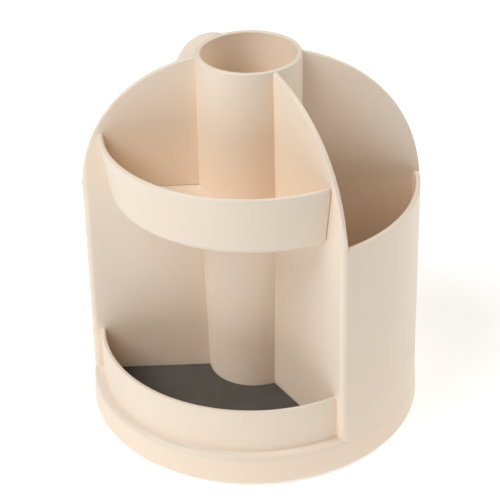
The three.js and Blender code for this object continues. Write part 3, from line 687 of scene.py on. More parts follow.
for side, turn in (("front", FRONT), ("rear", REAR)):
    made = piece(f"{side}_tray_moulding", lambda mesh: tray(mesh, turn))
    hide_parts(f"{side}_upper_tray")
    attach(made, "organizer")
    print(side, "tray", len(made.data.polygons), "faces")

# %% [markdown]
# ## The floor mats
# Thin die-cut foam: flat, with edges that the cutter has pressed slightly round. A mat could be a
# thin block that is cut to shape, but an outline is drawn once for each kind of floor and stacked
# in a few levels, the upper ones drawn in a little, which gives the sheet and its soft edge at once.

# %% Mat outlines
MAT_EASE = 0.4  # the pen tube's mat is cut a little small, to drop down the bore


def mat_outline(half_angle, gap, outer, steps, inner_steps):
    """A slice of a ring beside the pen tube, with its straight edges a gap off the dividers' planes."""
    inner = tube_radius(MAT_TOP) + CLEARANCE
    far, near = (half_angle - math.asin(gap / r) for r in (outer, inner))
    return arc(0, 0, outer, -far, far, steps) + arc(0, 0, inner, near, -near, inner_steps)


TIER = mat_outline(SECTOR_HALF, SECTOR_FACE + CLEARANCE,
                   LOW_WALL_RADIUS - LOW_WALL - LOW_WALL_LEAN - CLEARANCE, 72, 40)
BIN = mat_outline(BIN_HALF, CLEARANCE - BIN_FACE, bin_radius(MAT_TOP) - WALL - CLEARANCE, 48, 16)
TUBE = arc(0, 0, tube_radius(TUBE_FLOOR) - WALL - CLEARANCE - MAT_EASE, 0, math.tau, 96)[:-1]
print("mat outlines have", len(TIER), len(BIN), "and", len(TUBE), "points")


# %% Floor mats
MAT_ROUND = 0.45
MAT_THICKNESS = MAT_TOP - MAT_LOW
MATS = {  # outline, where it points, underside
    "front_tier_mat": (TIER, FRONT, MAT_LOW),
    "rear_tier_mat": (TIER, REAR, MAT_LOW),
    "right_bin_mat": (BIN, RIGHT, MAT_LOW),
    "left_bin_mat": (BIN, LEFT, MAT_LOW),
    "pen_tube_mat": (TUBE, 0.0, TUBE_FLOOR + CLEARANCE),
}


def mat(mesh, outline, low):
    """A flat slab with a rounded top edge, on an anticlockwise plan outline."""
    high = low + MAT_THICKNESS
    levels = [(0, low)] + [(MAT_ROUND * (1 - math.cos(a)), high - MAT_ROUND * (1 - math.sin(a)))
                           for a in (0, math.radians(30), math.radians(60), math.pi / 2)]
    skin(mesh, [[(x, y, z) for x, y in inset(outline, e)] for e, z in levels], around=True, caps=True)


for node, (outline, turn, low) in MATS.items():
    made = piece(node + "_foam", lambda mesh: mat(mesh, outline, low), turn=turn)
    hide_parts(node)
    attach(made, "organizer")
print(len(MATS), "mats,", round(MAT_THICKNESS, 2), "mm thick")

# %% [markdown]
# ## The turntable
# Under the organizer a round plate and a base disc hold a ring of steel balls between them, as in a
# bread turntable. Both are turned parts with holes. The holes could be left as gaps between faces,
# but that makes awkward meshes, so each part is a turned form and then a cut: a second mesh is
# taken away with a Boolean modifier, whose result is kept as the mesh.

# %% Cutting holes
OVERRUN = 2  # how far a cutting tool runs past what it cuts


def cut(obj, build):
    """Takes a second mesh away from an object, for holes that a sweep can't make."""
    tool = piece(obj.name + "_tool", build)
    step = obj.modifiers.new("cut", "BOOLEAN")
    step.operation, step.solver, step.object = "DIFFERENCE", "EXACT", tool
    made = bpy.data.meshes.new_from_object(obj.evaluated_get(bpy.context.evaluated_depsgraph_get()))
    obj.modifiers.clear()
    made.set_sharp_from_angle(angle=SMOOTH_ANGLE)
    obj.data = made
    bpy.data.objects.remove(tool)


def circle_of(count, radius, phase=0.0):
    """Places spread evenly round the axis."""
    return arc(0, 0, radius, phase, phase + math.tau, count)[:-1]


print("tools run", OVERRUN, "mm past what they cut")


# %% Ball grooves
RACE_RADIUS, RACE_HALF, BALL_COUNT, BALL_RADIUS, BALL_CENTRE = 45.0, 4.0, 12, 2.0, 5.5
RACE_LAND = 0.9  # from a race's face to the middle plane of the balls
GROOVE_RADIUS = BALL_RADIUS + CLEARANCE


def groove(side):
    """The ball groove's section, from the hub outwards; side is -1 below the balls and 1 above."""
    dip = math.asin(RACE_LAND / GROOVE_RADIUS)
    if side < 0:
        return arc(RACE_RADIUS, BALL_CENTRE, GROOVE_RADIUS, math.pi + dip, math.tau - dip, 10)
    return arc(RACE_RADIUS, BALL_CENTRE, GROOVE_RADIUS, math.pi - dip, dip, 10)


print("grooves are", round(GROOVE_RADIUS - RACE_LAND, 2), "mm deep")


# %% Base disc
BASE_RADIUS, BASE_LOW, BASE_TOP, BASE_EDGE = 60.0, 1.3, 3.5, 0.5
LIP_WIDTH, BASE_BEVEL, HUB_BEVEL = 2.0, 0.3, 0.2
BASE_HUB, BASE_HUB_TOP, BUSH_HOLE, COUNTERBORE, COUNTERBORE_TOP = 10.0, 5.6, 4.5, 6.2, 3.9
FOOT_COUNT, FOOT_RADIUS, FOOT_THICKNESS, FOOT_CIRCLE = 6, 6.5, 2.0, 50.0


def base_disc(mesh):
    land = BALL_CENTRE - RACE_LAND
    middle, inside = BASE_RADIUS - BASE_EDGE, BASE_RADIUS - LIP_WIDTH
    edge = arc(middle, BASE_LOW + BASE_EDGE, BASE_EDGE, -math.pi / 2, 0, 4)
    lip = arc(middle, land - BASE_EDGE, BASE_EDGE, 0, math.pi / 2, 4)
    lip += [(inside + BASE_BEVEL, land), (inside, land - BASE_BEVEL), (inside, BASE_TOP)]
    race = [(RACE_RADIUS + RACE_HALF, BASE_TOP), (RACE_RADIUS + RACE_HALF, land), *reversed(groove(-1)),
            (RACE_RADIUS - RACE_HALF, land), (RACE_RADIUS - RACE_HALF, BASE_TOP)]
    hub = [(BASE_HUB, BASE_TOP), (BASE_HUB, BASE_HUB_TOP - HUB_BEVEL),
           (BASE_HUB - HUB_BEVEL, BASE_HUB_TOP), (BUSH_HOLE, BASE_HUB_TOP),
           (BUSH_HOLE, COUNTERBORE_TOP), (COUNTERBORE, COUNTERBORE_TOP),
           (COUNTERBORE, BASE_LOW + BASE_BEVEL), (COUNTERBORE + BASE_BEVEL, BASE_LOW)]
    spin(mesh, [*edge, *lip, *race, *hub])


def foot_recesses(mesh):
    radius = FOOT_RADIUS + CLEARANCE
    for x, y in circle_of(FOOT_COUNT, FOOT_CIRCLE):
        post(mesh, x, y, [(radius, BASE_LOW - OVERRUN), (radius, FOOT_THICKNESS + CLEARANCE)], 48)


disc = piece("turntable_base", base_disc)
cut(disc, foot_recesses)
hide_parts("base_disc")
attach(disc, "standing_base")
print("base disc", len(disc.data.polygons), "faces")

# %% [markdown]
# ## The feet
# Six soft rubber pads keep the base still on the desk. A plain disc would do, but a real pad has
# rounded edges and a faint dish under it, and a turned profile gives both.

# %% Feet
FOOT_EDGE, FOOT_BACK_EDGE = 0.4, 0.2
DISH_DEPTH, DISH_START, DISH_END = 0.25, 2.2, 1.8  # the dish's rim, inwards from the pad's edge


def foot(mesh):
    edge = arc(FOOT_RADIUS - FOOT_EDGE, FOOT_EDGE, FOOT_EDGE, -math.pi / 2, 0, 5)
    back = arc(FOOT_RADIUS - FOOT_BACK_EDGE, FOOT_THICKNESS - FOOT_BACK_EDGE, FOOT_BACK_EDGE,
               0, math.pi / 2, 3)
    dish = [(0, DISH_DEPTH), (FOOT_RADIUS - DISH_START, DISH_DEPTH), (FOOT_RADIUS - DISH_END, 0.0)]
    spin(mesh, [*dish, *edge, *back, (0, FOOT_THICKNESS)], 64)


for i, (x, y) in enumerate(circle_of(FOOT_COUNT, FOOT_CIRCLE), 1):
    made = piece(f"rubber_foot_{i}", foot, at=(x, y, 0))
    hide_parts(f"anti_slip_foot_{i}")
    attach(made, "standing_base")
print(FOOT_COUNT, "feet,", FOOT_THICKNESS, "mm thick")

# %% [markdown]
# ## Plate, cage and balls
# The plate is the upper race and is screwed to the moulding. The cage is a thin ring with a pocket
# for each ball; it travels at half the organizer's speed, because the balls roll between the two.
# They could be joined in one mesh, since nothing of them shows, but the balls must turn with the
# cage while the plate turns with the organizer, so each is an object of its own.

# %% Turntable plate
PLATE_RADIUS, PLATE_LOW, PLATE_TOP, PLATE_EDGE = 52.0, 7.9, 9.3, 0.4
HUB_RADIUS, HUB_LOW, HUB_TOP, HUB_HOLE_TOP = 7.0, 7.0, 20.0, 18.0
PIVOT_HOLE, SCREW_HOLE = 2.6, 1.6


def plate(mesh):
    land = BALL_CENTRE + RACE_LAND
    race = [(RACE_RADIUS - RACE_HALF, PLATE_LOW), (RACE_RADIUS - RACE_HALF, land), *groove(1),
            (RACE_RADIUS + RACE_HALF, land), (RACE_RADIUS + RACE_HALF, PLATE_LOW)]
    edge = arc(PLATE_RADIUS - PLATE_EDGE, PLATE_LOW + PLATE_EDGE, PLATE_EDGE, -math.pi / 2, 0, 3)
    hub = [(HUB_RADIUS, PLATE_TOP), (HUB_RADIUS, HUB_TOP - PLATE_EDGE),
           (HUB_RADIUS - PLATE_EDGE, HUB_TOP), (0, HUB_TOP), (0, HUB_HOLE_TOP),
           (PIVOT_HOLE, HUB_HOLE_TOP), (PIVOT_HOLE, HUB_LOW), (HUB_RADIUS, HUB_LOW)]
    spin(mesh, [(HUB_RADIUS, PLATE_LOW), *race, *edge, (PLATE_RADIUS, PLATE_TOP), *hub])


def plate_holes(mesh):
    for x, y in circle_of(SCREW_COUNT, SCREW_CIRCLE, math.pi / 4):
        post(mesh, x, y, [(SCREW_HOLE, PLATE_LOW - OVERRUN), (SCREW_HOLE, PLATE_TOP + OVERRUN)])


made = piece("turntable_race", plate)
cut(made, plate_holes)
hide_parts("turntable_plate")
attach(made, "organizer")
print("turntable plate", len(made.data.polygons), "faces")


# %% Cage
CAGE_HALF, CAGE_THICKNESS, CAGE_BEVEL, POCKET_REACH = 4.5, 1.2, 0.2, 2.5


def bevelled(radius, low, high, bevel):
    """The outer side of a turned ring, from its lower to its upper bevel."""
    return [(radius - bevel, low), (radius, low + bevel),
            (radius, high - bevel), (radius - bevel, high)]


def cage(mesh):
    low, high = BALL_CENTRE - CAGE_THICKNESS / 2, BALL_CENTRE + CAGE_THICKNESS / 2
    inner = RACE_RADIUS - CAGE_HALF
    spin(mesh, [(inner, low + CAGE_BEVEL), (inner + CAGE_BEVEL, low),
                *bevelled(RACE_RADIUS + CAGE_HALF, low, high, CAGE_BEVEL),
                (inner + CAGE_BEVEL, high), (inner, high - CAGE_BEVEL)])


def pockets(mesh):
    for x, y in circle_of(BALL_COUNT, RACE_RADIUS):
        post(mesh, x, y, [(GROOVE_RADIUS, BALL_CENTRE + side * POCKET_REACH) for side in (-1, 1)], 32)


made = piece("race_cage", cage)
cut(made, pockets)
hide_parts("ball_cage")
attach(made, "bearing")
print("cage", len(made.data.polygons), "faces")


# %% Balls
def ball(mesh):
    half_circle = arc(0, BALL_CENTRE, BALL_RADIUS, -math.pi / 2, math.pi / 2, 24)
    spin(mesh, [(abs(x), z) for x, z in half_circle], 48)


for i, (x, y) in enumerate(circle_of(BALL_COUNT, RACE_RADIUS), 1):
    made = piece(f"steel_ball_{i}", ball, at=(x, y, 0))
    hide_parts(f"bearing_ball_{i}")
    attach(made, "bearing")
print("balls reach from", BALL_CENTRE - BALL_RADIUS, "to", BALL_CENTRE + BALL_RADIUS, "mm")

# %% [markdown]
# ## The pivot and the screws
# One screw from below holds the turning part down through a slippery bush, with a washer under its
# head. Four small screws fix the plate. The heads are domed and carry a crossed drive. Threads
# could be swept along a helix, but they end up inside bosses, so the shanks stay smooth.

# %% Screws
DOME_DEGREES = (0, 18, 36, 54, 72, 90)
DRIVE_DEPTH, DRIVE_HALF, DRIVE_TAPER, DRIVE_OVERRUN = 0.7, 0.4, 0.8, 1.0
PIVOT_SCREW = dict(radius=2.3, top=17.0, head_radius=5.0, head_top=2.7, head_height=1.5)
PLATE_SCREW = dict(radius=1.3, top=20.0, head_radius=2.8, head_top=7.6, head_height=1.6)
PIVOT_DRIVE, PLATE_DRIVE = (2.5, 1.2), (1.4, 6.0)  # a drive's reach and the head's underside


def screw(mesh, radius, top, head_radius, head_top, head_height):
    low, dome = head_top - head_height, head_height / 2
    head = [(head_radius - dome + dome * math.sin(a), low + dome - dome * math.cos(a))
            for a in (math.radians(d) for d in DOME_DEGREES)]
    spin(mesh, [(0, low), *head, (head_radius, head_top), (radius, head_top), (radius, top - radius),
                (radius / 2, top), (0, top)], 48)


def crossed_drive(mesh, reach, low):
    """The tool for a crossed recess, which narrows a little as it goes in."""
    quarter = [(reach, -DRIVE_HALF), (reach, DRIVE_HALF), (DRIVE_HALF, DRIVE_HALF)]
    outline = []
    for i in range(4):
        turned = Matrix.Rotation(math.pi / 2 * i, 2)
        outline += [tuple(turned @ Vector(p)) for p in quarter]
    foot = [(x, y, low - DRIVE_OVERRUN) for x, y in outline]
    end = [(DRIVE_TAPER * x, DRIVE_TAPER * y, low + DRIVE_DEPTH) for x, y in outline]
    skin(mesh, [foot, end], around=True, caps=True)


made = piece("pivot_screw_steel", lambda mesh: screw(mesh, **PIVOT_SCREW))
cut(made, lambda mesh: crossed_drive(mesh, *PIVOT_DRIVE))
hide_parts("pivot_screw")
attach(made, "organizer")
for i, (x, y) in enumerate(circle_of(SCREW_COUNT, SCREW_CIRCLE, math.pi / 4), 1):
    made = piece(f"plate_screw_steel_{i}", lambda mesh: screw(mesh, **PLATE_SCREW))
    cut(made, lambda mesh: crossed_drive(mesh, *PLATE_DRIVE))
    made.data.transform(Matrix.Translation(Vector((x, y, 0)) * MM))
    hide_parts(f"plate_screw_{i}")
    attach(made, "organizer")
print("a plate screw has", len(made.data.polygons), "faces")


# %% Washer and bush
WASHER_RADIUS, WASHER_LOW, WASHER_TOP = 5.6, 3.0, 3.6
BUSH_RADIUS, FLANGE_RADIUS, FLANGE_LOW, BUSH_TOP = 4.2, 6.5, 5.9, 6.7
RING_BEVEL = 0.1


def washer(mesh):
    side = bevelled(WASHER_RADIUS, WASHER_LOW, WASHER_TOP, RING_BEVEL)
    spin(mesh, [(PIVOT_HOLE, WASHER_LOW), *side, (PIVOT_HOLE, WASHER_TOP)], 64)


def bush(mesh):
    flange = bevelled(FLANGE_RADIUS, FLANGE_LOW, BUSH_TOP, RING_BEVEL)
    sleeve = [(PIVOT_HOLE, COUNTERBORE_TOP), (BUSH_RADIUS, COUNTERBORE_TOP), (BUSH_RADIUS, FLANGE_LOW)]
    spin(mesh, [*sleeve, *flange, (PIVOT_HOLE, BUSH_TOP)], 64)


made = piece("washer_steel", washer)
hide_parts("pivot_washer")
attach(made, "organizer")
made = piece("bush_plastic", bush)
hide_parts("pivot_bush")
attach(made, "standing_base")
print("bush stands", round(BUSH_TOP - BASE_HUB_TOP, 2), "mm above the base's hub")

# %% [markdown]
# ## Effects that several finishes share
# All moulded plastic has a grain, drifts a little in tone, rubs paler at its edges and gathers dust.
# On the cream shell the dust's mask also paints a paler top light on faces that look up, and a
# corner mask paints light and shade where walls face each other: a warmer bounce light on the shell,
# shade on the darker finishes. These could be drawn in every material, but a shader node group is
# built once, with named inputs and outputs, and each finish places it with values of its own.

# %% Node helpers
SMOOTH = {"interpolation_type": "SMOOTHSTEP"}


def node(tree, kind, values=None, **settings):
    made = tree.nodes.new("ShaderNode" + kind)
    for key, value in settings.items():
        setattr(made, key, value)
    for key, value in (values or {}).items():
        made.inputs[key].default_value = value
    return made


def product(tree, first, second, **settings):
    """Multiplies two sockets, and gives the result."""
    made = node(tree, "Math", operation="MULTIPLY", **settings)
    tree.links.new(first, made.inputs[0])
    tree.links.new(second, made.inputs[1])
    return made.outputs[0]


def stretched(tree, source, low, high, **settings):
    """Stretches a value, so that low becomes 0 and high becomes 1."""
    made = node(tree, "MapRange", {"From Min": low, "From Max": high}, **settings)
    tree.links.new(source, made.inputs["Value"])
    return made.outputs["Result"]


def noise(tree, values, patch=None):
    """A noise on the object's own coordinates; patch is a socket with the size of its patches."""
    made = node(tree, "TexNoise", values)
    tree.links.new(node(tree, "TexCoord").outputs["Object"], made.inputs["Vector"])
    if patch is not None:
        pitch = node(tree, "Math", {0: 1.0}, operation="DIVIDE")
        tree.links.new(patch, pitch.inputs[1])
        tree.links.new(pitch.outputs[0], made.inputs["Scale"])
    return made


print("node helpers ready")


# %% Group helpers
def effect(name, inputs, outputs):
    """Starts a node group, and gives its tree, its input node and its output node."""
    tree = bpy.data.node_groups.new(name, "ShaderNodeTree")
    for label, value in inputs.items():
        socket = tree.interface.new_socket(label, in_out="INPUT", socket_type="NodeSocketFloat")
        socket.default_value = value
    for label in outputs:
        tree.interface.new_socket(label, in_out="OUTPUT", socket_type="NodeSocketFloat")
    return tree, tree.nodes.new("NodeGroupInput"), tree.nodes.new("NodeGroupOutput")


def place_effect(tree, name, **values):
    """Places a node group in a material, with values for its inputs."""
    made = tree.nodes.new("ShaderNodeGroup")
    made.node_tree = bpy.data.node_groups[name]
    for label, value in values.items():
        made.inputs[label.replace("_", " ")].default_value = value
    return made


print("group helpers ready")


# %% Moulded grain and slow tone
def build_grain():
    """Fine spark-eroded texture of a mould: a noise of the given size, with flecks where it peaks."""
    inputs = {"Grain size": 0.0005, "Sharpness": 0.5}
    tree, given, result = effect("moulded_grain", inputs, ["Height", "Fleck"])
    coarse = noise(tree, {"Detail": 4.0}, given.outputs["Grain size"])
    tree.links.new(given.outputs["Sharpness"], coarse.inputs["Roughness"])
    fleck = stretched(tree, coarse.outputs["Fac"], 0.56, 0.72, **SMOOTH)
    tree.links.new(coarse.outputs["Fac"], result.inputs["Height"])
    tree.links.new(fleck, result.inputs["Fleck"])


def build_tone():
    """Slow drift of tone over a moulding, as where the plastic flowed and cooled unevenly."""
    tree, given, result = effect("slow_tone", {"Patch size": 0.05}, ["Tone"])
    values = {"Detail": 2.0, "Roughness": 0.4, "Distortion": 0.3}
    patches = noise(tree, values, given.outputs["Patch size"])
    tree.links.new(stretched(tree, patches.outputs["Fac"], 0.3, 0.7, **SMOOTH), result.inputs["Tone"])


build_grain()
build_tone()
print("grain and tone effects built")


# %% Rubbed edges, settled dust and painted top light
def build_wear():
    """Where hands rub: convex edges, broken up by a noise so that the rubbing isn't even."""
    tree, given, result = effect("rubbed_edge", {"Amount": 1.0}, ["Mask"])
    shape = node(tree, "NewGeometry")
    edge = stretched(tree, shape.outputs["Pointiness"], 0.52, 0.62, **SMOOTH)
    spots = stretched(tree, noise(tree, {"Scale": 160.0, "Detail": 3.0}).outputs["Fac"], 0.35, 0.65)
    rubbed = product(tree, product(tree, edge, spots), given.outputs["Amount"], use_clamp=True)
    tree.links.new(rubbed, result.inputs["Mask"])


def build_dust_and_top_light():
    """Fine dust lies on faces that look up, thicker in some places than in others. On the cream shell
    this mask also paints a paler top light.
    """
    tree, given, result = effect("dust_and_painted_top_light", {"Amount": 1.0}, ["Mask"])
    parts = node(tree, "SeparateXYZ")
    tree.links.new(node(tree, "NewGeometry").outputs["Normal"], parts.inputs[0])
    level = stretched(tree, parts.outputs["Z"], 0.7, 1.0, **SMOOTH)
    drift = noise(tree, {"Scale": 55.0, "Detail": 6.0, "Roughness": 0.65})
    thick = stretched(tree, drift.outputs["Fac"], 0.35, 0.75)
    dusty_and_top_lit = product(tree, product(tree, level, thick), given.outputs["Amount"], use_clamp=True)
    tree.links.new(dusty_and_top_lit, result.inputs["Mask"])


build_wear()
build_dust_and_top_light()
print("wear and dust effects built")

# %% [markdown]
# ## Painted corner light and shade
# Deep in a corner of cream plastic, light goes from wall to wall many times and comes out more
# orange. More light bounces in the render would slow it down and still fall short, because plastic
# also passes light inside itself. So a mask finds the closed-in places with an ambient occlusion
# node, which measures how much of the space around a point is free, and that bounce light is painted
# into their colour as a warmer cream. On the darker finishes the same mask paints shade into corners.

# %% Painted corner light and shade
def build_painted_corner_light_and_shade():
    """A mask for painted corner light and shade: full where a point is shut in by walls, and nothing
    where it stands free.
    """
    tree, given, result = effect("painted_corner_light_and_shade", {"Reach": 0.04, "Amount": 1.0}, ["Mask"])
    free = node(tree, "AmbientOcclusion", samples=8)
    tree.links.new(given.outputs["Reach"], free.inputs["Distance"])
    closed = stretched(tree, free.outputs["AO"], 0.95, 0.25, **SMOOTH)
    painted_corner_share = product(tree, closed, given.outputs["Amount"], use_clamp=True)
    tree.links.new(painted_corner_share, result.inputs["Mask"])


build_painted_corner_light_and_shade()
print("corner effect built")

# %% [markdown]
# ## A recipe for moulded finishes
# The shell, the turntable, the cage, the foam and the rubber are all dyed through. Five materials
# could be wired one by one, but they differ only in their numbers, so one recipe makes them: the
# tone drifts between two close colours, corners get painted light and shade (a painted warm bounce on
# the shell, painted shade on the darker finishes), rubbed edges are paler and smoother, and dust is
# paler and rougher, which on the shell also paints a paler top light.

# %% Dyed finishes
MIX_COLOURS, MIX_RESULT = (6, 7), 2  # the Mix node's sockets when it mixes colours
CORNER_REACH = 80 * MM  # how far a corner looks for other walls
RUBBED_CHANGE, DUST_CHANGE = -0.08, 0.2  # in roughness


def blend(tree, factor, first, second):
    """Mixes two colours or sockets by a factor, and gives the mixed colour."""
    mix = node(tree, "Mix", data_type="RGBA")
    tree.links.new(factor, mix.inputs["Factor"])
    for slot, value in zip(MIX_COLOURS, (first, second)):
        if isinstance(value, tuple):
            mix.inputs[slot].default_value = (*value, 1)
        else:
            tree.links.new(value, mix.inputs[slot])
    return mix.outputs[MIX_RESULT]


def dyed(name, colours, deep, rubbed, dusty_and_top_lit, roughness, grain, depth,
         patch=0.05, wear=0.5, dust=0.2, sharpness=0.5, corner=0.7):
    """A dyed-through plastic, foam or rubber. Lengths here are metres, as in the nodes."""
    made = bpy.data.materials.new(name)
    made.use_nodes = True
    tree = made.node_tree
    shader = tree.nodes["Principled BSDF"]
    tone = place_effect(tree, "slow_tone", Patch_size=patch).outputs["Tone"]
    fine = place_effect(tree, "moulded_grain", Grain_size=grain, Sharpness=sharpness)
    edge = place_effect(tree, "rubbed_edge", Amount=wear).outputs["Mask"]
    # The dust mask, which on the cream shell also paints a paler top light.
    dust_and_top_light = place_effect(tree, "dust_and_painted_top_light", Amount=dust).outputs["Mask"]
    # A mask for painted corner light and shade.
    closed = place_effect(tree, "painted_corner_light_and_shade", Reach=CORNER_REACH, Amount=corner).outputs["Mask"]
    colour = blend(tree, tone, colours[0], colours[1])
    colour = blend(tree, fine.outputs["Fleck"], colour, colours[2])
    # Paints the deep colour into closed-in places: painted bounce light on the shell, painted shade
    # elsewhere.
    colour = blend(tree, closed, colour, deep)
    colour = blend(tree, edge, colour, rubbed)
    # Paints dust, and on the cream shell a paler top light on faces that look up.
    colour = blend(tree, dust_and_top_light, colour, dusty_and_top_lit)
    tree.links.new(colour, shader.inputs["Base Color"])
    rough = node(tree, "MapRange", {"To Min": roughness[0], "To Max": roughness[1]})
    tree.links.new(tone, rough.inputs["Value"])
    smoother = node(tree, "Math", {1: RUBBED_CHANGE}, operation="MULTIPLY_ADD")
    tree.links.new(edge, smoother.inputs[0])
    tree.links.new(rough.outputs["Result"], smoother.inputs[2])
    rougher = node(tree, "Math", {1: DUST_CHANGE}, operation="MULTIPLY_ADD", use_clamp=True)
    tree.links.new(dust_and_top_light, rougher.inputs[0])
    tree.links.new(smoother.outputs[0], rougher.inputs[2])
    tree.links.new(rougher.outputs[0], shader.inputs["Roughness"])
    bump = node(tree, "Bump", {"Strength": 1.0, "Distance": depth})
    tree.links.new(fine.outputs["Height"], bump.inputs["Height"])
    tree.links.new(bump.outputs["Normal"], shader.inputs["Normal"])
    return made


print("recipe ready")

# %% [markdown]
# ## The cream shell
# The real shell looks like polypropylene with a warm cream dye and a satin grain. One flat colour
# would look like paint, so three close creams are mixed by patches and flecks. The grain is only
# about a hundredth of a millimetre deep: enough to soften a reflection, and too fine to see.

# %% Shell plastic
# The deep colour is a painted warm bounce light in the corners, and the dust colour also paints a paler
# top light on faces that look up.
shell_plastic = dyed(
    "cream_shell_plastic",
    colours=((0.790, 0.688, 0.580), (0.775, 0.668, 0.556), (0.805, 0.708, 0.604)),
    deep=(0.945, 0.758, 0.588), rubbed=(0.88, 0.81, 0.72), dusty_and_top_lit=(0.82, 0.80, 0.77),
    roughness=(0.36, 0.44), grain=0.00045, depth=0.000012, patch=0.06, wear=0.35, dust=0.35)
print("shell plastic nodes", len(shell_plastic.node_tree.nodes))

# %% [markdown]
# ## Foam, rubber and hidden plastics
# The mats are matt charcoal foam with open pores, the feet black rubber, and the turntable and its
# cage plainer plastics. They could share one dark and one pale material, but foam scatters light
# and rubber holds a dull sheen, so each has its own roughness, grain and depth.

# %% Foam, turntable, cage and rubber
# On these finishes the deep colour paints shade into the corners.
mat_foam = dyed(
    "dark_mat_foam",
    colours=((0.104, 0.096, 0.086), (0.086, 0.079, 0.072), (0.155, 0.145, 0.132)),
    deep=(0.060, 0.052, 0.045), rubbed=(0.14, 0.12, 0.105), dusty_and_top_lit=(0.24, 0.22, 0.20),
    roughness=(0.86, 0.95), grain=0.0006, depth=0.00016, patch=0.03, wear=0.4, dust=0.18, sharpness=0.7)
turntable_plastic = dyed(
    "grey_turntable_plastic",
    colours=((0.66, 0.63, 0.58), (0.62, 0.59, 0.545), (0.70, 0.67, 0.62)),
    deep=(0.56, 0.525, 0.475), rubbed=(0.76, 0.74, 0.70), dusty_and_top_lit=(0.5, 0.47, 0.43),
    roughness=(0.42, 0.52), grain=0.0007, depth=0.00002, wear=0.5, dust=0.15)
cage_plastic = dyed(
    "white_cage_plastic",
    colours=((0.86, 0.85, 0.81), (0.83, 0.82, 0.775), (0.88, 0.87, 0.84)),
    deep=(0.80, 0.775, 0.72), rubbed=(0.9, 0.9, 0.88), dusty_and_top_lit=(0.6, 0.57, 0.52),
    roughness=(0.32, 0.42), grain=0.0005, depth=0.000008, patch=0.02, wear=0.5, dust=0.15)
foot_rubber = dyed(
    "black_foot_rubber",
    colours=((0.024, 0.023, 0.022), (0.019, 0.018, 0.018), (0.040, 0.038, 0.036)),
    deep=(0.012, 0.012, 0.011), rubbed=(0.07, 0.068, 0.064), dusty_and_top_lit=(0.2, 0.19, 0.17),
    roughness=(0.78, 0.92), grain=0.0004, depth=0.00005, patch=0.012, wear=0.7, dust=0.2, sharpness=0.65)
print("four more dyed finishes")

# %% [markdown]
# ## Steel
# Ball and screw steel is metal, so its colour is its reflection, and it needs no dye. A perfect
# mirror would look false, so fine turning marks and a few dull patches in the roughness break the
# reflection up, and its edges are a little brighter.

# %% Steel
def build_steel():
    made = bpy.data.materials.new("bright_steel")
    made.use_nodes = True
    tree = made.node_tree
    shader = tree.nodes["Principled BSDF"]
    shader.inputs["Metallic"].default_value = 1.0
    tone = place_effect(tree, "slow_tone", Patch_size=0.004).outputs["Tone"]
    fine = place_effect(tree, "moulded_grain", Grain_size=0.00025, Sharpness=0.6)
    edge = place_effect(tree, "rubbed_edge", Amount=0.8).outputs["Mask"]
    colour = blend(tree, tone, (0.60, 0.595, 0.58), (0.50, 0.495, 0.485))
    colour = blend(tree, edge, colour, (0.74, 0.735, 0.72))
    tree.links.new(colour, shader.inputs["Base Color"])
    rough = node(tree, "MapRange", {"To Min": 0.16, "To Max": 0.34})
    tree.links.new(tone, rough.inputs["Value"])
    tree.links.new(rough.outputs["Result"], shader.inputs["Roughness"])
    bump = node(tree, "Bump", {"Strength": 1.0, "Distance": 0.000004})
    tree.links.new(fine.outputs["Height"], bump.inputs["Height"])
    tree.links.new(bump.outputs["Normal"], shader.inputs["Normal"])
    return made


steel = build_steel()
print("steel nodes", len(steel.node_tree.nodes))

# %% [markdown]
# ## Finishes on the pieces
# Every real piece is made of one material. A finish could be given where each piece is made, but
# one table shows at a glance which pieces share a plastic.

# %% Finishes on the pieces
FINISHES = {part + "_moulding": shell_plastic for part in ("organizer", "front_tray", "rear_tray")}
FINISHES |= {name: turntable_plastic for name in ("turntable_base", "turntable_race")}
FINISHES |= {name: cage_plastic for name in ("race_cage", "bush_plastic")}
FINISHES |= {name: steel for name in ("washer_steel", "pivot_screw_steel")}
FINISHES |= {name + "_foam": mat_foam for name in MATS}
FINISHES |= {f"rubber_foot_{i + 1}": foot_rubber for i in range(FOOT_COUNT)}
FINISHES |= {f"steel_ball_{i + 1}": steel for i in range(BALL_COUNT)}
FINISHES |= {f"plate_screw_steel_{i + 1}": steel for i in range(SCREW_COUNT)}
for name, finish in FINISHES.items():
    data = bpy.data.objects[name].data
    data.materials.clear()
    data.materials.append(finish)
print(len(FINISHES), "pieces finished")

# %% [markdown]
# ## The table
# Small products are often shot on a white table that is lit from below, so that the ground goes
# white and shadows nearly vanish. A lamp under a sheet of glass could do that here too, but a flat
# white sheet that glows a little by itself gives the same even light with less noise.

# %% Table
TABLE_HALF = 2.0  # metres
PAPER_COLOUR, PAPER_ROUGHNESS, PAPER_GLOW = (0.70, 0.70, 0.70, 1), 0.9, 0.49


def studio_floor():
    mesh = bmesh.new()
    corners = ((-1, -1), (1, -1), (1, 1), (-1, 1))
    mesh.faces.new([mesh.verts.new((x * TABLE_HALF, y * TABLE_HALF, 0)) for x, y in corners])
    data = bpy.data.meshes.new("studio_floor")
    mesh.to_mesh(data)
    mesh.free()
    floor = bpy.data.objects.new("studio_floor", data)
    bpy.context.collection.objects.link(floor)
    paper = bpy.data.materials.new("white_paper")
    paper.use_nodes = True
    shader = paper.node_tree.nodes["Principled BSDF"]
    shader.inputs["Base Color"].default_value = PAPER_COLOUR
    shader.inputs["Roughness"].default_value = PAPER_ROUGHNESS
    shader.inputs["Emission Color"].default_value = (1, 1, 1, 1)
    shader.inputs["Emission Strength"].default_value = PAPER_GLOW
    data.materials.append(paper)
    floor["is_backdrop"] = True


studio_floor()
print("table", 2 * TABLE_HALF, "m wide")

# %% [markdown]
# ## The light
# Cream plastic looks soft when it's lit from large areas. One large lamp could light it all, but
# then the bins turn black inside. So a key lamp stands high at the front left, a warmer lamp at the
# back right fills the bins and the tube from above, and a weak low one lifts the front. A faint glow
# comes from all round. Where the camera looks past the table it sees a white wall.

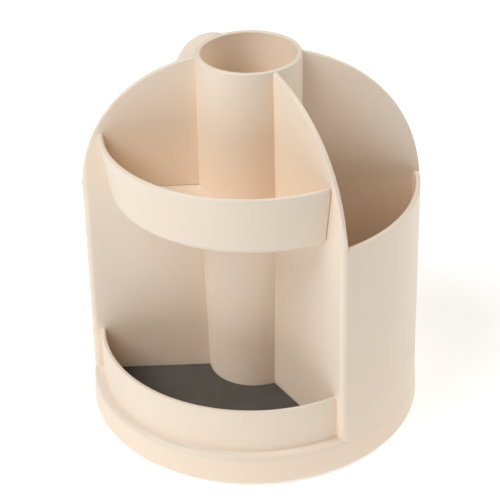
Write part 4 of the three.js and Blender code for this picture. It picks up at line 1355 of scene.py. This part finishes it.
# %% Lamps
LOOK_AT = (0, 0, 0.08)
LAMP_DISTANCE, LAMP_SIZE = 2.5, 1.9
LAMPS = {  # azimuth (0 is the right side, 270 the front) and elevation in degrees, watts, colour
    "key": (238, 49, 43.5, (0.975, 0.995, 1.0)),
    "back": (45, 48, 34.5, (1.0, 0.945, 0.865)),
    "low_fill": (262, 14, 8.0, (1.0, 0.93, 0.84)),
}


def around(azimuth, elevation):
    """A point at the lamps' distance from the middle of the holder."""
    a, e = math.radians(azimuth), math.radians(elevation)
    reach = LAMP_DISTANCE * math.cos(e)
    return Vector((reach * math.cos(a), reach * math.sin(a), LOOK_AT[2] + LAMP_DISTANCE * math.sin(e)))


def soft_lamp(name, place, power, colour):
    data = bpy.data.lights.new(name, "AREA")
    data.shape, data.size, data.energy, data.color = "DISK", LAMP_SIZE, power, colour
    lamp = bpy.data.objects.new(name, data)
    lamp.location = place
    lamp.rotation_euler = (Vector(LOOK_AT) - place).to_track_quat("-Z", "Y").to_euler()
    bpy.context.collection.objects.link(lamp)


for name, (azimuth, elevation, power, colour) in LAMPS.items():
    soft_lamp(name, around(azimuth, elevation), power, colour)
print("lamps:", list(LAMPS))


# %% Glow and wall
GLOW, GLOW_COLOUR, WALL_SEEN = 0.18, (1.0, 0.98, 0.96), 0.9


def studio_room():
    """A weak even glow from all round, which the camera sees as a white wall."""
    world = bpy.data.worlds.new("studio")
    world.use_nodes = True
    tree = world.node_tree
    sky = tree.nodes["Background"]
    sky.inputs["Color"].default_value = (*GLOW_COLOUR, 1)
    ray = node(tree, "LightPath")
    wall = node(tree, "MapRange", {"To Min": GLOW, "To Max": WALL_SEEN})
    tree.links.new(ray.outputs["Is Camera Ray"], wall.inputs["Value"])
    tree.links.new(wall.outputs["Result"], sky.inputs["Strength"])
    bpy.context.scene.world = world


studio_room()
bpy.context.scene.view_settings.view_transform = "Standard"
print("glow", GLOW, "and wall", WALL_SEEN)

# %% [markdown]
# ## The size of the dressed object
# The dressed object must fill the same box as the mechanical one, or the two would not fit the same
# space in a model that uses them. The boxes could be compared by eye, but numbers are certain, so
# the dressed object's box is measured and printed.

low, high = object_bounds()
print("visual size in mm", [round((b - a) / MM, 2) for a, b in zip(low, high)])
